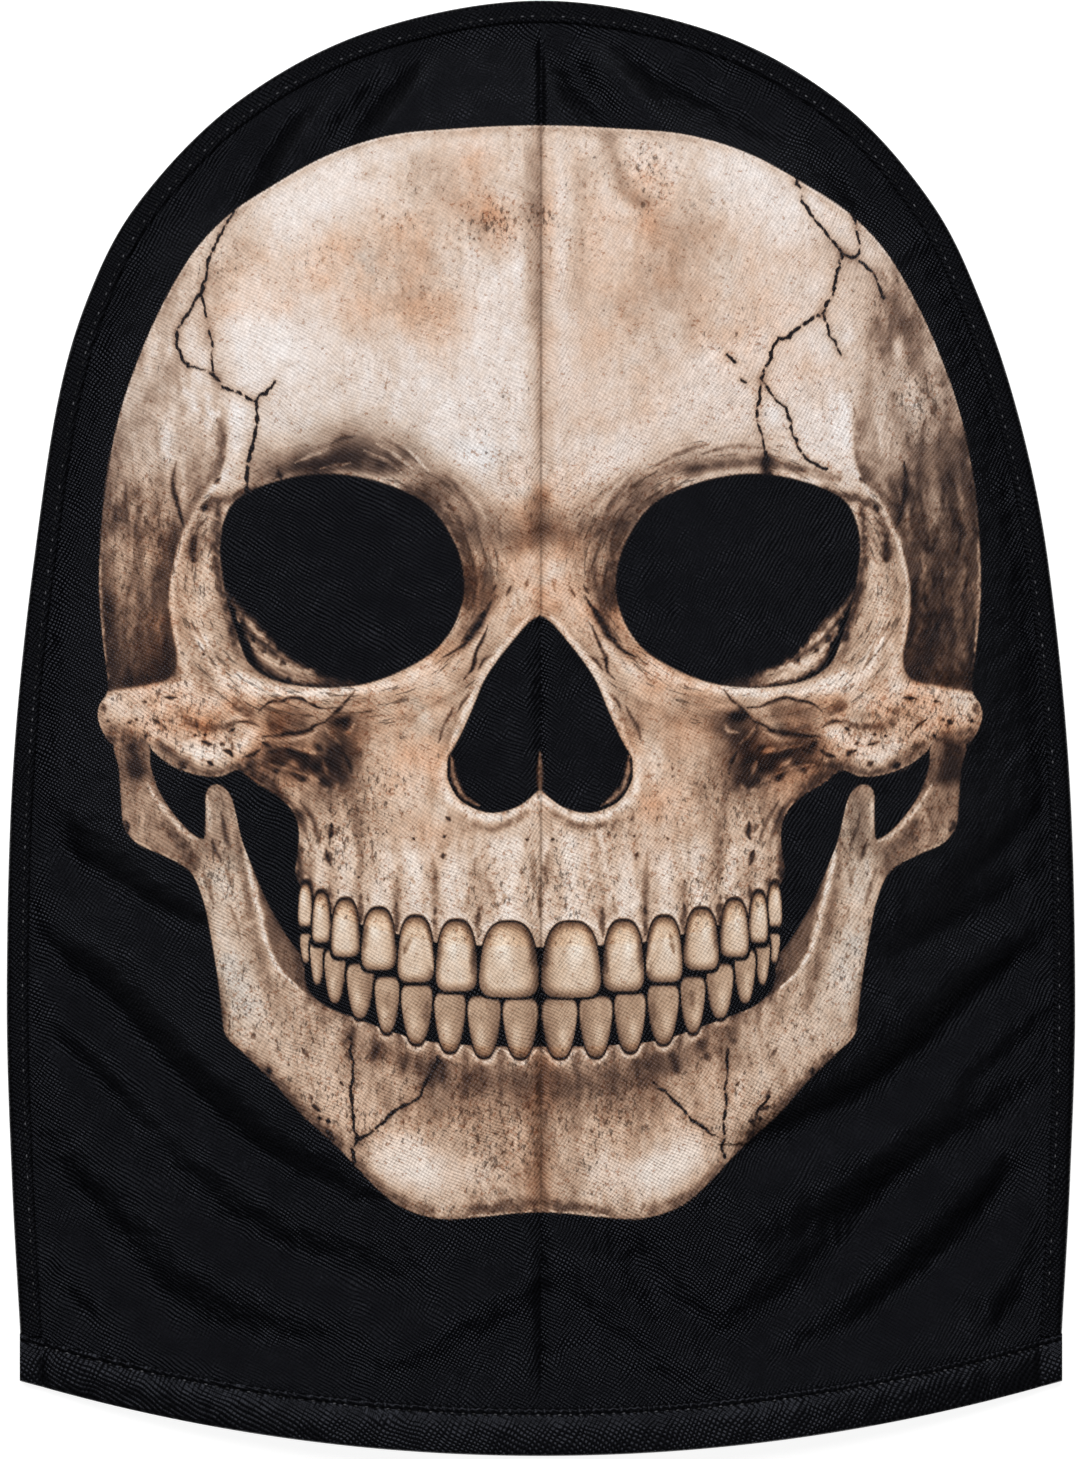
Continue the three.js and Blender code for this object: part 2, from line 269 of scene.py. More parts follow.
# Teeth of one half, from the middle out: inner and outer edge, top and foot
UPPER_TEETH = [
    (1, 61, 921, 996), (62, 104, 920, 990), (105, 142, 916, 981), (143, 178, 908, 969), (179, 208, 899, 956),
    (208, 227, 892, 942), (226, 241, 883, 926),
]
LOWER_TEETH = [
    (1, 38, 996, 1056), (38, 73, 994, 1055), (73, 106, 990, 1050), (106, 139, 982, 1042),
    (139, 165, 975, 1031), (165, 193, 962, 1017), (193, 215, 948, 1002), (214, 229, 939, 984),
    (227, 239, 932, 962),
]
# Both rows: teeth, whether upper, width of the crown, narrowing to the root, tone, darkness of the edge
TOOTH_KINDS = [(LOWER_TEETH, False, 0.97, 0.34, 0.60, 0.30), (UPPER_TEETH, True, 1, 0.22, 0.80, 0.50)]

# Lights and shades of both halves: tone, lighter above 0 and darker below, width, then the path
SKULL_SHADES = [
    # forehead
    (0.25, 46, [(48, 300), (52, 400)]),
    (0.30, 40, [(262, 335), (240, 350)]),
    (0.35, 26, [(250, 215), (205, 180)]),
    (0.55, 20, [(60, 460), (90, 454), (112, 446)]),
    (-0.16, 50, [(150, 250), (120, 300)]),
    (-0.16, 16, [(300, 250), (345, 330)]),
    # painted shade along the middle seam
    (-0.12, 9, [(4, 140), (4, 460)]),
    (-0.30, 15, [(0, 500), (0, 526)]),
    (-0.35, 14, [(0, 538), (34, 544), (62, 528)]),
    (-0.22, 16, [(20, 520), (56, 508), (84, 490)]),
    (0.40, 12, [(10, 566), (12, 596)]),
    # orbit's inner rim
    (-0.20, 16, [(66, 585), (63, 556), (76, 522), (106, 490)]),
    (-0.50, 5.5, [(72, 604), (73, 570), (83, 536), (102, 509), (132, 489)]),
    (0.45, 3, [(78, 606), (84, 624), (98, 644)]),
    (-0.22, 9, [(74, 600), (73, 560), (88, 524), (116, 493)]),
    (-0.40, 2.2, [(94, 502), (79, 524), (70, 552)]),
    (-0.25, 2.0, [(85, 488), (66, 516), (60, 544)]),
    (-0.45, 2.0, [(68, 560), (64, 584), (66, 604)]),
    (-0.25, 1.6, [(52, 548), (48, 572), (50, 596)]),
    (-0.25, 1.6, [(42, 524), (38, 546)]),
    (-0.25, 1.8, [(118, 470), (96, 486), (78, 504)]),
    (-0.20, 1.8, [(98, 472), (80, 492), (66, 512)]),
    (0.35, 2.0, [(124, 466), (100, 484), (80, 504)]),
    (0.35, 2.0, [(86, 478), (66, 500), (54, 520)]),
    (-0.30, 1.8, [(60, 540), (54, 566), (56, 590)]),
    (0.30, 2.0, [(66, 548), (60, 572), (62, 596)]),
    (-0.30, 8, [(150, 474), (204, 464), (262, 469)]),
    (0.40, 2.2, [(150, 482), (176, 475), (214, 471), (250, 475), (284, 484)]),
    # temple
    (-0.40, 5, [(319, 424), (317, 446), (320, 462), (328, 478)]),
    (0.35, 5, [(304, 410), (301, 440), (306, 464)]),
    (-0.90, 2.2, [(363, 462), (366, 482), (362, 502), (354, 530)]),
    (-0.70, 12, [(386, 642), (376, 668)]),
    (-0.40, 16, [(410, 640), (420, 672)]),
    (-0.30, 14, [(426, 430), (434, 500), (436, 560)]),
    (0.45, 1.6, [(438, 540), (439, 600), (434, 660), (431, 688)]),
    (-0.35, 3, [(404, 480), (398, 540), (402, 600)]),
    (-0.30, 3, [(384, 420), (378, 470), (384, 540)]),
    (0.20, 5, [(392, 430), (390, 520)]),
    # orbit's outer rim
    (0.65, 3.0, [(312, 470), (322, 484), (334, 498), (346, 518), (354, 536), (361, 556), (366, 580)]),
    (0.65, 3.0, [(366, 580), (367, 604), (364, 628), (360, 652)]),
    (-0.60, 6, [(334, 508), (318, 500), (300, 498), (284, 490)]),
    (-0.85, 2.2, [(318, 478), (324, 484)]),
    (-0.80, 2.2, [(332, 506), (336, 513)]),
    (-0.75, 4, [(345, 538), (345, 560)]),
    (-0.70, 5, [(320, 512), (324, 545), (320, 578), (311, 612), (303, 640)]),
    (-0.40, 7, [(340, 522), (348, 552)]),
    (0.35, 7, [(342, 590), (338, 624)]),
    (0.12, 16, [(332, 590), (332, 650)]),
    (0.80, 8, [(337, 636), (324, 664), (310, 682), (286, 690)]),
    (0.50, 6, [(352, 646), (354, 676), (350, 690)]),
    (-0.25, 4, [(304, 612), (306, 640), (299, 660)]),
    (-0.40, 1.6, [(334, 640), (330, 656), (322, 670)]),
    (-0.80, 1.6, [(335, 654), (334, 656)]),
    # cheek bone, lights
    (0.16, 30, [(390, 718), (300, 718)]),
    (0.55, 20, [(404, 712), (350, 706), (316, 702)]),
    (0.60, 14, [(350, 745), (318, 742)]),
    (0.90, 6, [(302, 676), (280, 686), (258, 692), (232, 694), (204, 693), (180, 690), (152, 685),
        (126, 676), (108, 664)]),
    (0.75, 5, [(398, 692), (374, 689), (350, 685)]),
    (0.70, 6, [(428, 700), (414, 694), (400, 694)]),
    (0.55, 8, [(414, 712), (420, 706)]),
    (0.45, 7, [(386, 722), (388, 734)]),
    (0.35, 8, [(376, 734), (352, 742)]),
    (0.30, 10, [(360, 702), (330, 700)]),
    (0.85, 8, [(342, 756), (322, 754), (302, 746), (290, 735)]),
    # cheek bone, shades
    (-0.50, 4.5, [(352, 722), (338, 727), (318, 727), (304, 722)]),
    (-0.28, 6, [(374, 716), (352, 712)]),
    (-0.25, 5, [(330, 716), (312, 716)]),
    (-0.45, 6, [(300, 704), (290, 713)]),
    (-0.38, 9, [(268, 718), (238, 714)]),
    (-0.35, 5, [(266, 728), (236, 726)]),
    (-0.45, 5, [(428, 730), (412, 733), (402, 734)]),
    (-0.60, 4, [(432, 738), (416, 742), (397, 741)]),
    (-0.50, 5, [(380, 744), (364, 755), (350, 764)]),
    (-0.45, 4, [(346, 770), (326, 773), (308, 768)]),
    # cheek bone, fine lines
    (-0.92, 1.6, [(281, 713), (274, 706), (266, 702), (256, 701), (246, 698), (236, 700), (226, 704),
        (216, 708), (206, 708)]),
    (-0.92, 2.2, [(282, 737), (262, 736), (250, 734), (240, 733), (230, 730), (226, 726), (213, 722)]),
    (0.70, 1.8, [(300, 728), (284, 735), (272, 740), (252, 741), (236, 738), (222, 731)]),
    (-0.90, 1.6, [(183, 690), (191, 700), (197, 706), (206, 715), (213, 722)]),
    (-0.80, 1.6, [(300, 722), (290, 722), (280, 727)]),
    (0.55, 1.8, [(316, 722), (302, 717), (290, 718)]),
    (-0.85, 1.6, [(309, 732), (303, 728)]),
    (-0.85, 1.5, [(386, 719), (380, 723), (372, 731)]),
    (-0.90, 1.8, [(374, 698), (362, 698)]),
    (-0.90, 1.8, [(338, 742), (326, 745)]),
    (-0.95, 2.2, [(316, 750), (308, 753), (305, 757)]),
    (-0.90, 2.2, [(294, 756), (286, 754), (279, 750)]),
    (-0.85, 2.0, [(276, 742), (268, 747)]),
    (-0.80, 1.8, [(272, 752), (260, 750)]),
    # cheek bone, pits
    (-0.95, 2.8, [(431, 720), (430, 722)]),
    (-0.90, 2.2, [(412, 723), (407, 721)]),
    (-0.90, 1.8, [(404, 719), (401, 721)]),
    (-0.50, 2.4, [(436, 704), (434, 712)]),
    (-0.85, 1.6, [(397, 702), (392, 702)]),
    (-0.95, 3.0, [(394, 735), (391, 736)]),
    (-0.90, 1.8, [(345, 736), (342, 737)]),
    (-0.90, 1.8, [(335, 735), (331, 735)]),
    (-0.90, 1.8, [(318, 743), (314, 745)]),
    (-0.95, 2.8, [(331, 761), (325, 765)]),
    (-0.95, 3.2, [(359, 763), (352, 767)]),
    # below the cheek bone
    (-0.45, 22, [(246, 760), (202, 766)]),
    (-0.62, 13, [(266, 750), (240, 757), (208, 766), (198, 776)]),
    (-0.85, 4.5, [(248, 750), (240, 755), (232, 756)]),
    (-0.85, 5, [(230, 765), (220, 768)]),
    (-0.80, 4, [(244, 772), (236, 778)]),
    (-0.85, 5, [(210, 756), (204, 766)]),
    (-0.80, 4, [(216, 780), (210, 784)]),
    (-0.75, 3.5, [(256, 764), (262, 770)]),
    (-0.70, 3.0, [(224, 744), (216, 750)]),
    (0.45, 2.4, [(234, 748), (222, 752)]),
    (0.45, 2.4, [(250, 760), (240, 765)]),
    (0.40, 2.4, [(230, 776), (220, 781)]),
    (0.40, 2.2, [(216, 762), (212, 774)]),
    (0.40, 2.2, [(200, 782), (206, 796)]),
    (-0.60, 7, [(298, 767), (274, 780), (256, 798)]),
    (-0.50, 6, [(288, 764), (262, 762)]),
    (-0.65, 9, [(214, 734), (204, 748)]),
    (-0.35, 10, [(190, 738), (184, 756)]),
    (0.35, 1.6, [(262, 745), (242, 748), (222, 754)]),
    (0.35, 1.6, [(274, 764), (252, 768), (232, 775)]),
    (0.35, 1.8, [(240, 782), (226, 790)]),
    (0.60, 1.8, [(213, 726), (207, 736), (198, 744)]),
    (0.45, 2.4, [(214, 788), (210, 790)]),
    (-0.80, 1.8, [(196, 752), (190, 764), (188, 774)]),
    (-0.22, 18, [(206, 776), (226, 806)]),
    (-0.65, 8, [(242, 818), (239, 850), (237, 878)]),
    (-0.45, 1.8, [(252, 796), (236, 818), (228, 850)]),
    (-0.45, 1.8, [(238, 800), (224, 822), (218, 850)]),
    (-0.95, 3.2, [(207, 822), (209, 838)]),
    (-0.95, 2.8, [(212, 850), (208, 864)]),
    (-0.28, 7, [(184, 786), (180, 830), (176, 870)]),
    # hole below the orbit
    (-0.45, 16, [(186, 730), (200, 742)]),
    (-0.97, 8, [(201, 720), (193, 720)]),
    (0.45, 2.0, [(184, 724), (188, 731), (196, 733)]),
    # beside the nose
    (-0.08, 34, [(120, 730), (120, 830)]),
    (0.45, 16, [(122, 690), (104, 680)]),
    (0.35, 16, [(112, 720), (112, 770)]),
    (-0.40, 10, [(58, 576), (58, 606)]),
    (0.55, 6, [(64, 646), (84, 664), (110, 678)]),
    (0.40, 12, [(16, 572), (26, 604), (40, 626)]),
    (-0.92, 2.2, [(44, 596), (50, 606), (57, 618), (66, 632), (80, 648), (96, 658)]),
    (-0.90, 3.2, [(55, 611), (60, 620), (68, 632), (76, 641)]),
    (0.45, 3.0, [(34, 596), (42, 612), (54, 634), (66, 650)]),
    (0.40, 2.4, [(22, 590), (28, 606), (36, 622)]),
    (-0.60, 1.6, [(30, 586), (34, 598)]),
    (-0.60, 1.6, [(44, 586), (48, 594)]),
    (-0.50, 1.6, [(12, 580), (15, 592)]),
    (-0.85, 1.8, [(52, 626), (58, 642), (64, 656), (67, 670), (75, 680)]),
    (-0.70, 1.5, [(42, 654), (54, 660), (62, 670)]),
    (-0.60, 1.6, [(66, 690), (76, 700), (82, 712)]),
    (-0.50, 1.6, [(86, 706), (94, 722), (102, 742)]),
    (0.80, 3.2, [(10, 617), (22, 629), (36, 646), (50, 664), (62, 684), (72, 708), (82, 730), (96, 760)]),
    (0.90, 4.0, [(96, 762), (97, 782), (87, 802), (66, 814), (44, 818), (22, 811), (0, 796)]),
    # upper jaw
    (-0.40, 4, [(64, 824), (46, 828), (30, 822), (14, 812)]),
    (0.35, 22, [(118, 760), (126, 860)]),
    (0.25, 16, [(150, 720), (140, 800)]),
    (0.70, 8, [(28, 838), (28, 912)]),
    (0.55, 6, [(84, 862), (90, 906)]),
    (0.50, 6, [(126, 858), (122, 906)]),
    (0.45, 6, [(152, 856), (160, 898)]),
    (0.35, 5, [(188, 850), (186, 886)]),
    (-0.28, 3, [(107, 852), (104, 884), (106, 912)]),
    (-0.25, 3, [(52, 880), (45, 902)]),
    (-0.40, 2.4, [(72, 894), (76, 914)]),
    (-0.35, 2.5, [(7, 850), (6, 890)]),
    (-0.45, 3, [(0, 884), (0, 916)]),
    (-0.25, 3, [(142, 880), (144, 908)]),
    (-0.90, 1.8, [(95, 835), (94, 837)]),
    (-0.90, 2.0, [(96, 852), (95, 858)]),
    (-0.85, 1.6, [(127, 837), (125, 839)]),
    (-0.85, 1.8, [(14, 838), (11, 839)]),
    (-0.85, 1.8, [(155, 877), (154, 879)]),
    (-0.80, 1.6, [(181, 876), (181, 878)]),
    (-0.85, 1.8, [(196, 859), (196, 862)]),
    (-0.75, 1.8, [(94, 816), (90, 820)]),
]
LEFT_SHADES = [
    # shade under the brow
    (-0.42, 26, [(272, 466), (312, 450), (354, 440), (402, 452), (438, 482)]),
    (-0.46, 15, [(298, 468), (330, 460), (356, 454), (394, 464)]),
    (-0.38, 9, [(316, 467), (350, 458), (384, 464)]),
    (0.50, 1.6, [(378, 446), (396, 456), (414, 470)]),
    (0.50, 1.6, [(392, 442), (412, 455), (430, 474)]),
    (0.40, 1.5, [(364, 451), (384, 460), (402, 473)]),
    (0.40, 1.5, [(296, 465), (314, 457), (330, 449)]),
    (0.35, 1.4, [(322, 470), (350, 465)]),
    (-0.90, 2.6, [(279, 472), (281, 480)]),
    (-0.45, 1.8, [(384, 440), (402, 450), (418, 464)]),
    (-0.45, 1.8, [(330, 446), (342, 440), (356, 438)]),
    # temple
    (0.62, 15, [(190, 300), (193, 334), (198, 362)]),
    (0.24, 26, [(180, 400), (184, 456)]),
    (0.30, 40, [(130, 380), (140, 460)]),
    (0.30, 26, [(130, 560), (140, 640)]),
    (-0.18, 26, [(140, 610), (142, 660)]),
    # forehead
    (0.35, 16, [(440, 454), (486, 452)]),
    (0.18, 34, [(305, 215), (375, 212)]),
    (0.12, 34, [(250, 340), (270, 410)]),
    (0.12, 50, [(300, 300), (290, 340)]),
    (-0.18, 30, [(430, 180), (476, 214)]),
    (-0.16, 12, [(474, 222), (486, 238), (496, 250)]),
    (-0.14, 12, [(516, 216), (536, 210)]),
    # painted shade of the cloth beside the seam, on its left
    (-0.20, 9, [(530, 150), (532, 220), (533, 320)]),
]
RIGHT_SHADES = [
    (-0.35, 9, [(618, 520), (646, 487), (690, 470)]),
    (-0.40, 5, [(690, 470), (740, 464), (790, 468), (836, 479)]),
    (-0.15, 20, [(670, 456), (770, 450)]),
    (-0.40, 1.8, [(650, 470), (676, 456), (706, 446)]),
    (-0.40, 1.8, [(700, 456), (734, 448), (764, 450)]),
    (-0.30, 16, [(905, 330), (935, 400), (950, 480)]),
    (-0.30, 26, [(940, 470), (950, 600)]),
    # painted shade of a cloth fold, and its painted highlight
    (-0.35, 9, [(606, 140), (622, 186), (646, 204)]),
    (0.30, 12, [(620, 150), (640, 180), (660, 196)]),
    # painted highlight on the seam's welt, and painted shade beyond it
    (0.30, 10, [(560, 150), (561, 260), (561, 380)]),
    (-0.14, 12, [(580, 170), (578, 300)]),
    (0.25, 40, [(740, 180), (790, 210)]),
    (0.20, 40, [(700, 372)]),
    (0.20, 26, [(880, 380), (890, 450)]),
    (-0.07, 60, [(605, 300), (620, 420)]),
    (-0.92, 6, [(766, 462), (766, 474)]),
    (-0.35, 9, [(888, 296), (904, 322)]),
]
JAW_SHADES = [
    # upright part
    (-0.78, 13, [(407, 750), (403, 772)]),
    (-0.22, 20, [(402, 792), (388, 830), (350, 852)]),
    (-0.45, 7, [(374, 824), (354, 846), (342, 868)]),
    (0.62, 2.2, [(391, 784), (380, 803), (364, 822), (350, 834), (337, 841)]),
    (-0.70, 2.8, [(413, 820), (410, 832)]),
    (0.35, 2.0, [(404, 841), (386, 851), (362, 861)]),
    (-0.25, 9, [(324, 800), (320, 850)]),
    (0.50, 2.2, [(331, 796), (330, 830)]),
    (-0.50, 2.0, [(318, 812), (309, 850)]),
    (-0.55, 2.0, [(327, 838), (318, 862)]),
    (-0.50, 2.0, [(314, 864), (308, 886)]),
    (-0.65, 2.4, [(335, 868), (324, 904)]),
    (-0.45, 1.8, [(308, 904), (298, 938)]),
    (-0.38, 6, [(297, 850), (290, 900), (281, 950), (266, 1004)]),
    (0.32, 20, [(320, 880), (306, 960), (296, 1000)]),
    (-0.30, 6, [(320, 980), (314, 1022)]),
    # body
    (-0.07, 26, [(286, 965), (276, 1025)]),
    (0.35, 22, [(294, 960), (284, 1016), (246, 1050)]),
    (0.35, 20, [(182, 1112), (204, 1080)]),
    (0.88, 26, [(112, 1168), (142, 1150)]),
    (0.50, 24, [(66, 1172)]),
    (-0.34, 15, [(0, 1078), (60, 1078), (106, 1068)]),
    (-0.20, 12, [(110, 1066), (176, 1047)]),
    (-0.50, 4, [(96, 1060), (99, 1078)]),
    (-0.50, 4, [(132, 1052), (136, 1068)]),
    (-0.45, 3.5, [(160, 1042), (166, 1056)]),
    (-0.40, 3.5, [(186, 1028), (192, 1040)]),
    (-0.25, 18, [(20, 1102), (100, 1096)]),
    (-0.50, 6, [(0, 1062), (0, 1100)]),
    (-0.30, 9, [(0, 1110), (0, 1200)]),
    (-0.45, 6, [(6, 1201), (36, 1204), (70, 1209)]),
    (0.55, 1.6, [(8, 1209), (40, 1212), (70, 1214)]),
    (-0.40, 6, [(112, 1208), (150, 1192), (180, 1164)]),
    (-0.45, 7, [(200, 1142), (240, 1104), (288, 1056)]),
    (-0.90, 2.2, [(271, 1066), (270, 1074)]),
    (-0.90, 2.2, [(227, 1103), (219, 1109)]),
    (-0.90, 2.0, [(220, 1115), (219, 1119)]),
    (-0.90, 2.4, [(213, 1119), (208, 1120)]),
    (-0.85, 2.6, [(213, 1129), (205, 1138)]),
    (-0.85, 1.8, [(229, 1092), (226, 1096)]),
    (-0.85, 1.6, [(199, 1080), (195, 1084)]),
    (-0.60, 1.6, [(237, 1046), (229, 1057)]),
]

# Cracks: width, then the path
CRACKS = [
    (1.7, [(234, 212), (222, 234), (213, 252), (208, 276), (202, 294)]),
    (1.6, [(202, 294), (189, 314), (177, 336), (182, 357), (189, 368)]),
    (1.0, [(189, 368), (202, 370), (214, 376)]),
    (1.8, [(214, 376), (228, 390), (243, 395), (257, 403)]),
    (1.7, [(257, 403), (267, 394), (276, 384)]),
    (2.4, [(257, 403), (258, 420), (254, 449), (247, 492)]),
    (1.0, [(202, 296), (207, 318), (212, 342), (214, 372)]),
    (1.6, [(789, 167), (797, 185), (806, 208), (822, 231), (842, 255)]),
    (1.2, [(842, 255), (856, 258), (858, 238), (852, 216)]),
    (1.5, [(852, 258), (872, 274), (883, 299)]),
    (2.1, [(842, 255), (838, 272), (830, 297), (822, 314)]),
    (1.2, [(822, 314), (828, 332), (840, 356)]),
    (2.2, [(822, 314), (806, 323), (790, 336), (774, 345), (768, 364), (760, 380)]),
    (1.3, [(760, 380), (758, 400), (756, 420), (764, 445), (766, 466)]),
    (1.7, [(760, 380), (773, 398), (786, 414), (792, 436), (804, 459), (826, 470)]),
    (1.8, [(351, 1036), (354, 1060), (353, 1080), (352, 1100), (356, 1130), (358, 1138), (353, 1150),
        (355, 1160)]),
    (2.0, [(437, 1055), (434, 1070), (427, 1080), (419, 1097), (398, 1107), (387, 1118), (370, 1133),
        (359, 1138)]),
    (1.5, [(727, 1048), (725, 1089), (722, 1137), (724, 1156)]),
    (1.7, [(652, 1080), (677, 1104), (705, 1128), (722, 1137)]),
    (1.2, [(768, 1095), (758, 1108), (752, 1124)]),
    (1.4, [(726, 356), (734, 364)]),
    (1.6, [(740, 382), (745, 384)]),
]


def both_sides(rows):
    """Rows whose paths are steps out from the middle line, once for each half."""
    halves = []
    for side in (-1, 1):
        for *values, path in rows:
            halves.append((*values, [(MIDDLE + side * out, down) for out, down in path]))
    return halves


# Stains: tint, strength, width, path
STAINS = [
    ("peach", 0.70, 44, [(410, 240), (330, 270)]),
    ("peach", 0.50, 22, [(214, 296), (262, 262)]),
    ("peach", 0.50, 16, [(222, 318), (280, 298)]),
    ("peach", 0.65, 40, [(370, 290), (440, 320)]),
    ("rust", 0.65, 24, [(466, 160), (478, 200), (492, 226)]),
    ("rust", 0.55, 22, [(655, 212), (640, 190)]),
    ("peach", 0.55, 60, [(720, 300), (790, 280)]),
    ("peach", 0.40, 60, [(600, 200), (660, 260)]),
    ("peach", 0.40, 50, [(800, 360)]),
    ("peach", 0.50, 56, [(610, 310), (615, 410)]),
    ("peach", 0.35, 34, [(725, 405)]),
    ("grey", 0.50, 20, [(436, 456), (486, 456)]),
    ("rust", 0.30, 8, [(548, 160), (550, 300), (546, 420)]),
    ("rust", 0.60, 34, [(540, 500), (540, 556)]),
    ("rust", 0.45, 40, [(470, 590), (610, 590)]),
    ("peach", 0.45, 60, [(440, 760), (640, 760)]),
    ("peach", 0.35, 80, [(400, 1110), (680, 1110)]),
    ("rust", 0.40, 16, [(540, 1060), (540, 1200)]),
    ("peach", 0.45, 40, [(150, 500), (170, 560)]),
    ("grey", 0.55, 50, [(130, 420), (140, 480)]),
    ("grey", 0.45, 50, [(930, 420), (950, 520)]),
    ("grey", 0.60, 40, [(300, 450), (390, 450)]),
]
STAINS += both_sides([
    ("rust", 0.38, 34, [(120, 735), (120, 825)]),
    ("rust", 0.72, 34, [(400, 715), (280, 725)]),
    ("rust", 0.80, 34, [(210, 745), (260, 770)]),
    ("rust", 0.50, 40, [(110, 650), (140, 690)]),
    ("rust", 0.40, 24, [(390, 670), (374, 630)]),
    ("grey", 0.85, 30, [(324, 810), (318, 900), (300, 1000)]),
])
TINTS = {
    "tan": (1.00, 0.90, 0.78), "peach": (1.00, 0.90, 0.82), "rust": (0.95, 0.76, 0.62),
    "grey": (0.93, 0.97, 1.00), "tooth": (1.00, 0.93, 0.82),
}

# Where the bone is most worn, and where it is clean: strength, width, path
WORN = [
    (1.0, 24, [(476, 226), (530, 214)]),
    (0.5, 22, [(640, 150), (652, 200)]),
    (0.6, 26, [(880, 300), (930, 420)]),
    (-0.5, 40, [(280, 330), (300, 350)]),
    (-0.4, 40, [(300, 200), (340, 180)]),
    (-0.5, 40, [(580, 330), (570, 420)]),
    (0.1, 40, [(620, 480), (480, 480)]),
    (0.5, 30, [(330, 850), (350, 800)]),
    (0.4, 30, [(750, 850), (730, 800)]),
    (0.3, 50, [(480, 1110), (600, 1110)]),
]
WORN += both_sides([
    (-0.7, 34, [(140, 1170), (100, 1165)]),
    (0.4, 60, [(290, 725), (380, 715)]),
    (-0.3, 40, [(110, 780), (110, 880)]),
    (0.5, 16, [(74, 600), (74, 560), (94, 515), (130, 480)]),
    (0.5, 16, [(334, 520), (344, 570), (334, 640)]),
])

# Screen colours of tones from 0 to 1, and of the black cloth
RAMP = [
    (0.00, (20, 18, 20)), (0.15, (46, 35, 32)), (0.30, (90, 70, 60)), (0.45, (138, 112, 96)),
    (0.60, (181, 156, 138)), (0.75, (211, 191, 176)), (0.88, (226, 214, 207)), (1.00, (242, 239, 239)),
]
BLACK = (3, 3, 4)

# Tones of the bone: jaw, forehead, how much darker the cheeks are and how much lighter the teeth's roots
JAW_TONE, FOREHEAD_TONE, CHEEK_DARKER, ROOTS_LIGHTER = 0.67, 0.83, 0.21, 0.11
# Tones of the temple, how much darker its foot is, of the orbit's floor and of a crack
TEMPLE_TONE, TEMPLE_DARKER, FLOOR_TONE, CRACK_TONE = 0.62, 0.42, 0.50, 0.04
# Rows between which the skull changes to its cheeks and to the roots of its teeth
CHEEK_ROWS, ROOT_ROWS = (430, 640), (760, 840)
# Rows between which the temple darkens, its edge sharpens and its edge's shade begins
TEMPLE_ROWS, TEMPLE_EDGE_ROWS, TEMPLE_SHADE_ROWS = (380, 680), (330, 450), (420, 560)
# Rows between which the seam's shade ends above the nose and begins again below it
SEAM_END_ROWS, SEAM_START_ROWS = (620, 480), (790, 820)
# Rows between which streaks, wear and a tan tint grow
STREAK_ROWS, WORN_ROWS, TAN_ROWS = (400, 520), (400, 540), (420, 620)
# Steps out from the middle line between which the orbit's floor comes into the light
FLOOR_FADE = (170, 240)
# An orbit's middle, and how much wider than high the streaks round it run
ORBIT_OUT, ORBIT_DOWN, ORBIT_STRETCH = 196, 582, 1.2
# Where those streaks end: steps from the orbit's middle, and steps out from the middle line
RING_FADE, RING_END = (190, 130), (372, 352)
# Farthest that a mark wanders from its path, and where it begins to wander beside the middle line
MOST_WANDER, CALM_MIDDLE = 14, (3, 30)
# Widest mark whose ends are points, widest fine mark, and narrowest broad one with large blotches
POINTED, FINE, BROAD = 3.3, 7, 20
# Sizes of the roughness, and how many widths from its path a mark reaches
SMALL, MEDIUM, LARGE = 5, 16, 44
MARK_BAND = 2.4
# Softness of the bone's edge, and how far a crack's shade reaches
EDGE, CRACK_BAND = 0.8, 12
# Cells of a noise before it repeats, and the share of strength that each finer octave keeps
NOISE_CELLS, NOISE_FADE = 256, 0.55


# Curves, steps and noise

def smooth_path(points, steps=6, closed=False):
    """A curve through the points, as a list of close points."""
    points = np.asarray(points, dtype=float)
    if len(points) < 3 and not closed:
        return points
    before = points[-1:] if closed else 2 * points[:1] - points[1:2]
    after = points[:2] if closed else 2 * points[-1:] - points[-2:-1]
    knots = np.concatenate([before, points, after])
    t = np.linspace(0, 1, steps, endpoint=False)[:, None]
    parts = []
    for a, b, c, d in zip(knots[:-3], knots[1:-2], knots[2:-1], knots[3:]):
        bend = (2 * a - 5 * b + 4 * c - d) * t * t + (3 * b - a - 3 * c + d) * t ** 3
        parts.append(b + 0.5 * ((c - a) * t + bend))
    parts.append(points[:1] if closed else points[-1:])
    return np.concatenate(parts)


def mix(a, b, share):
    """A value between two others."""
    return a + (b - a) * share


def soft_step(value, low, high):
    """From 0 at low to 1 at high, with a soft start and a soft end."""
    t = np.clip((value - low) / (high - low), 0, 1)
    return t * t * (3 - 2 * t)


def noise(u, v, size, seed, octaves=4):
    """Soft cloudy noise from about -1 to 1, whose largest clouds have the size given."""
    table = np.random.default_rng(seed).random((NOISE_CELLS, NOISE_CELLS)) * 2 - 1
    total, weight = 0.0, 1.0
    for octave in range(octaves):
        a = u / size + 17.3 * octave
        b = v / size + 9.1 * octave
        column = np.floor(a).astype(int)
        row = np.floor(b).astype(int)
        s = soft_step(a - column, 0, 1)
        t = soft_step(b - row, 0, 1)
        left, right = column % NOISE_CELLS, (column + 1) % NOISE_CELLS
        first, second = row % NOISE_CELLS, (row + 1) % NOISE_CELLS
        low = table[first, left] * (1 - s) + table[first, right] * s
        high = table[second, left] * (1 - s) + table[second, right] * s
        total = total + weight * (low * (1 - t) + high * t)
        size = size / 2
        weight = weight * NOISE_FADE
    return total


# Painting the print

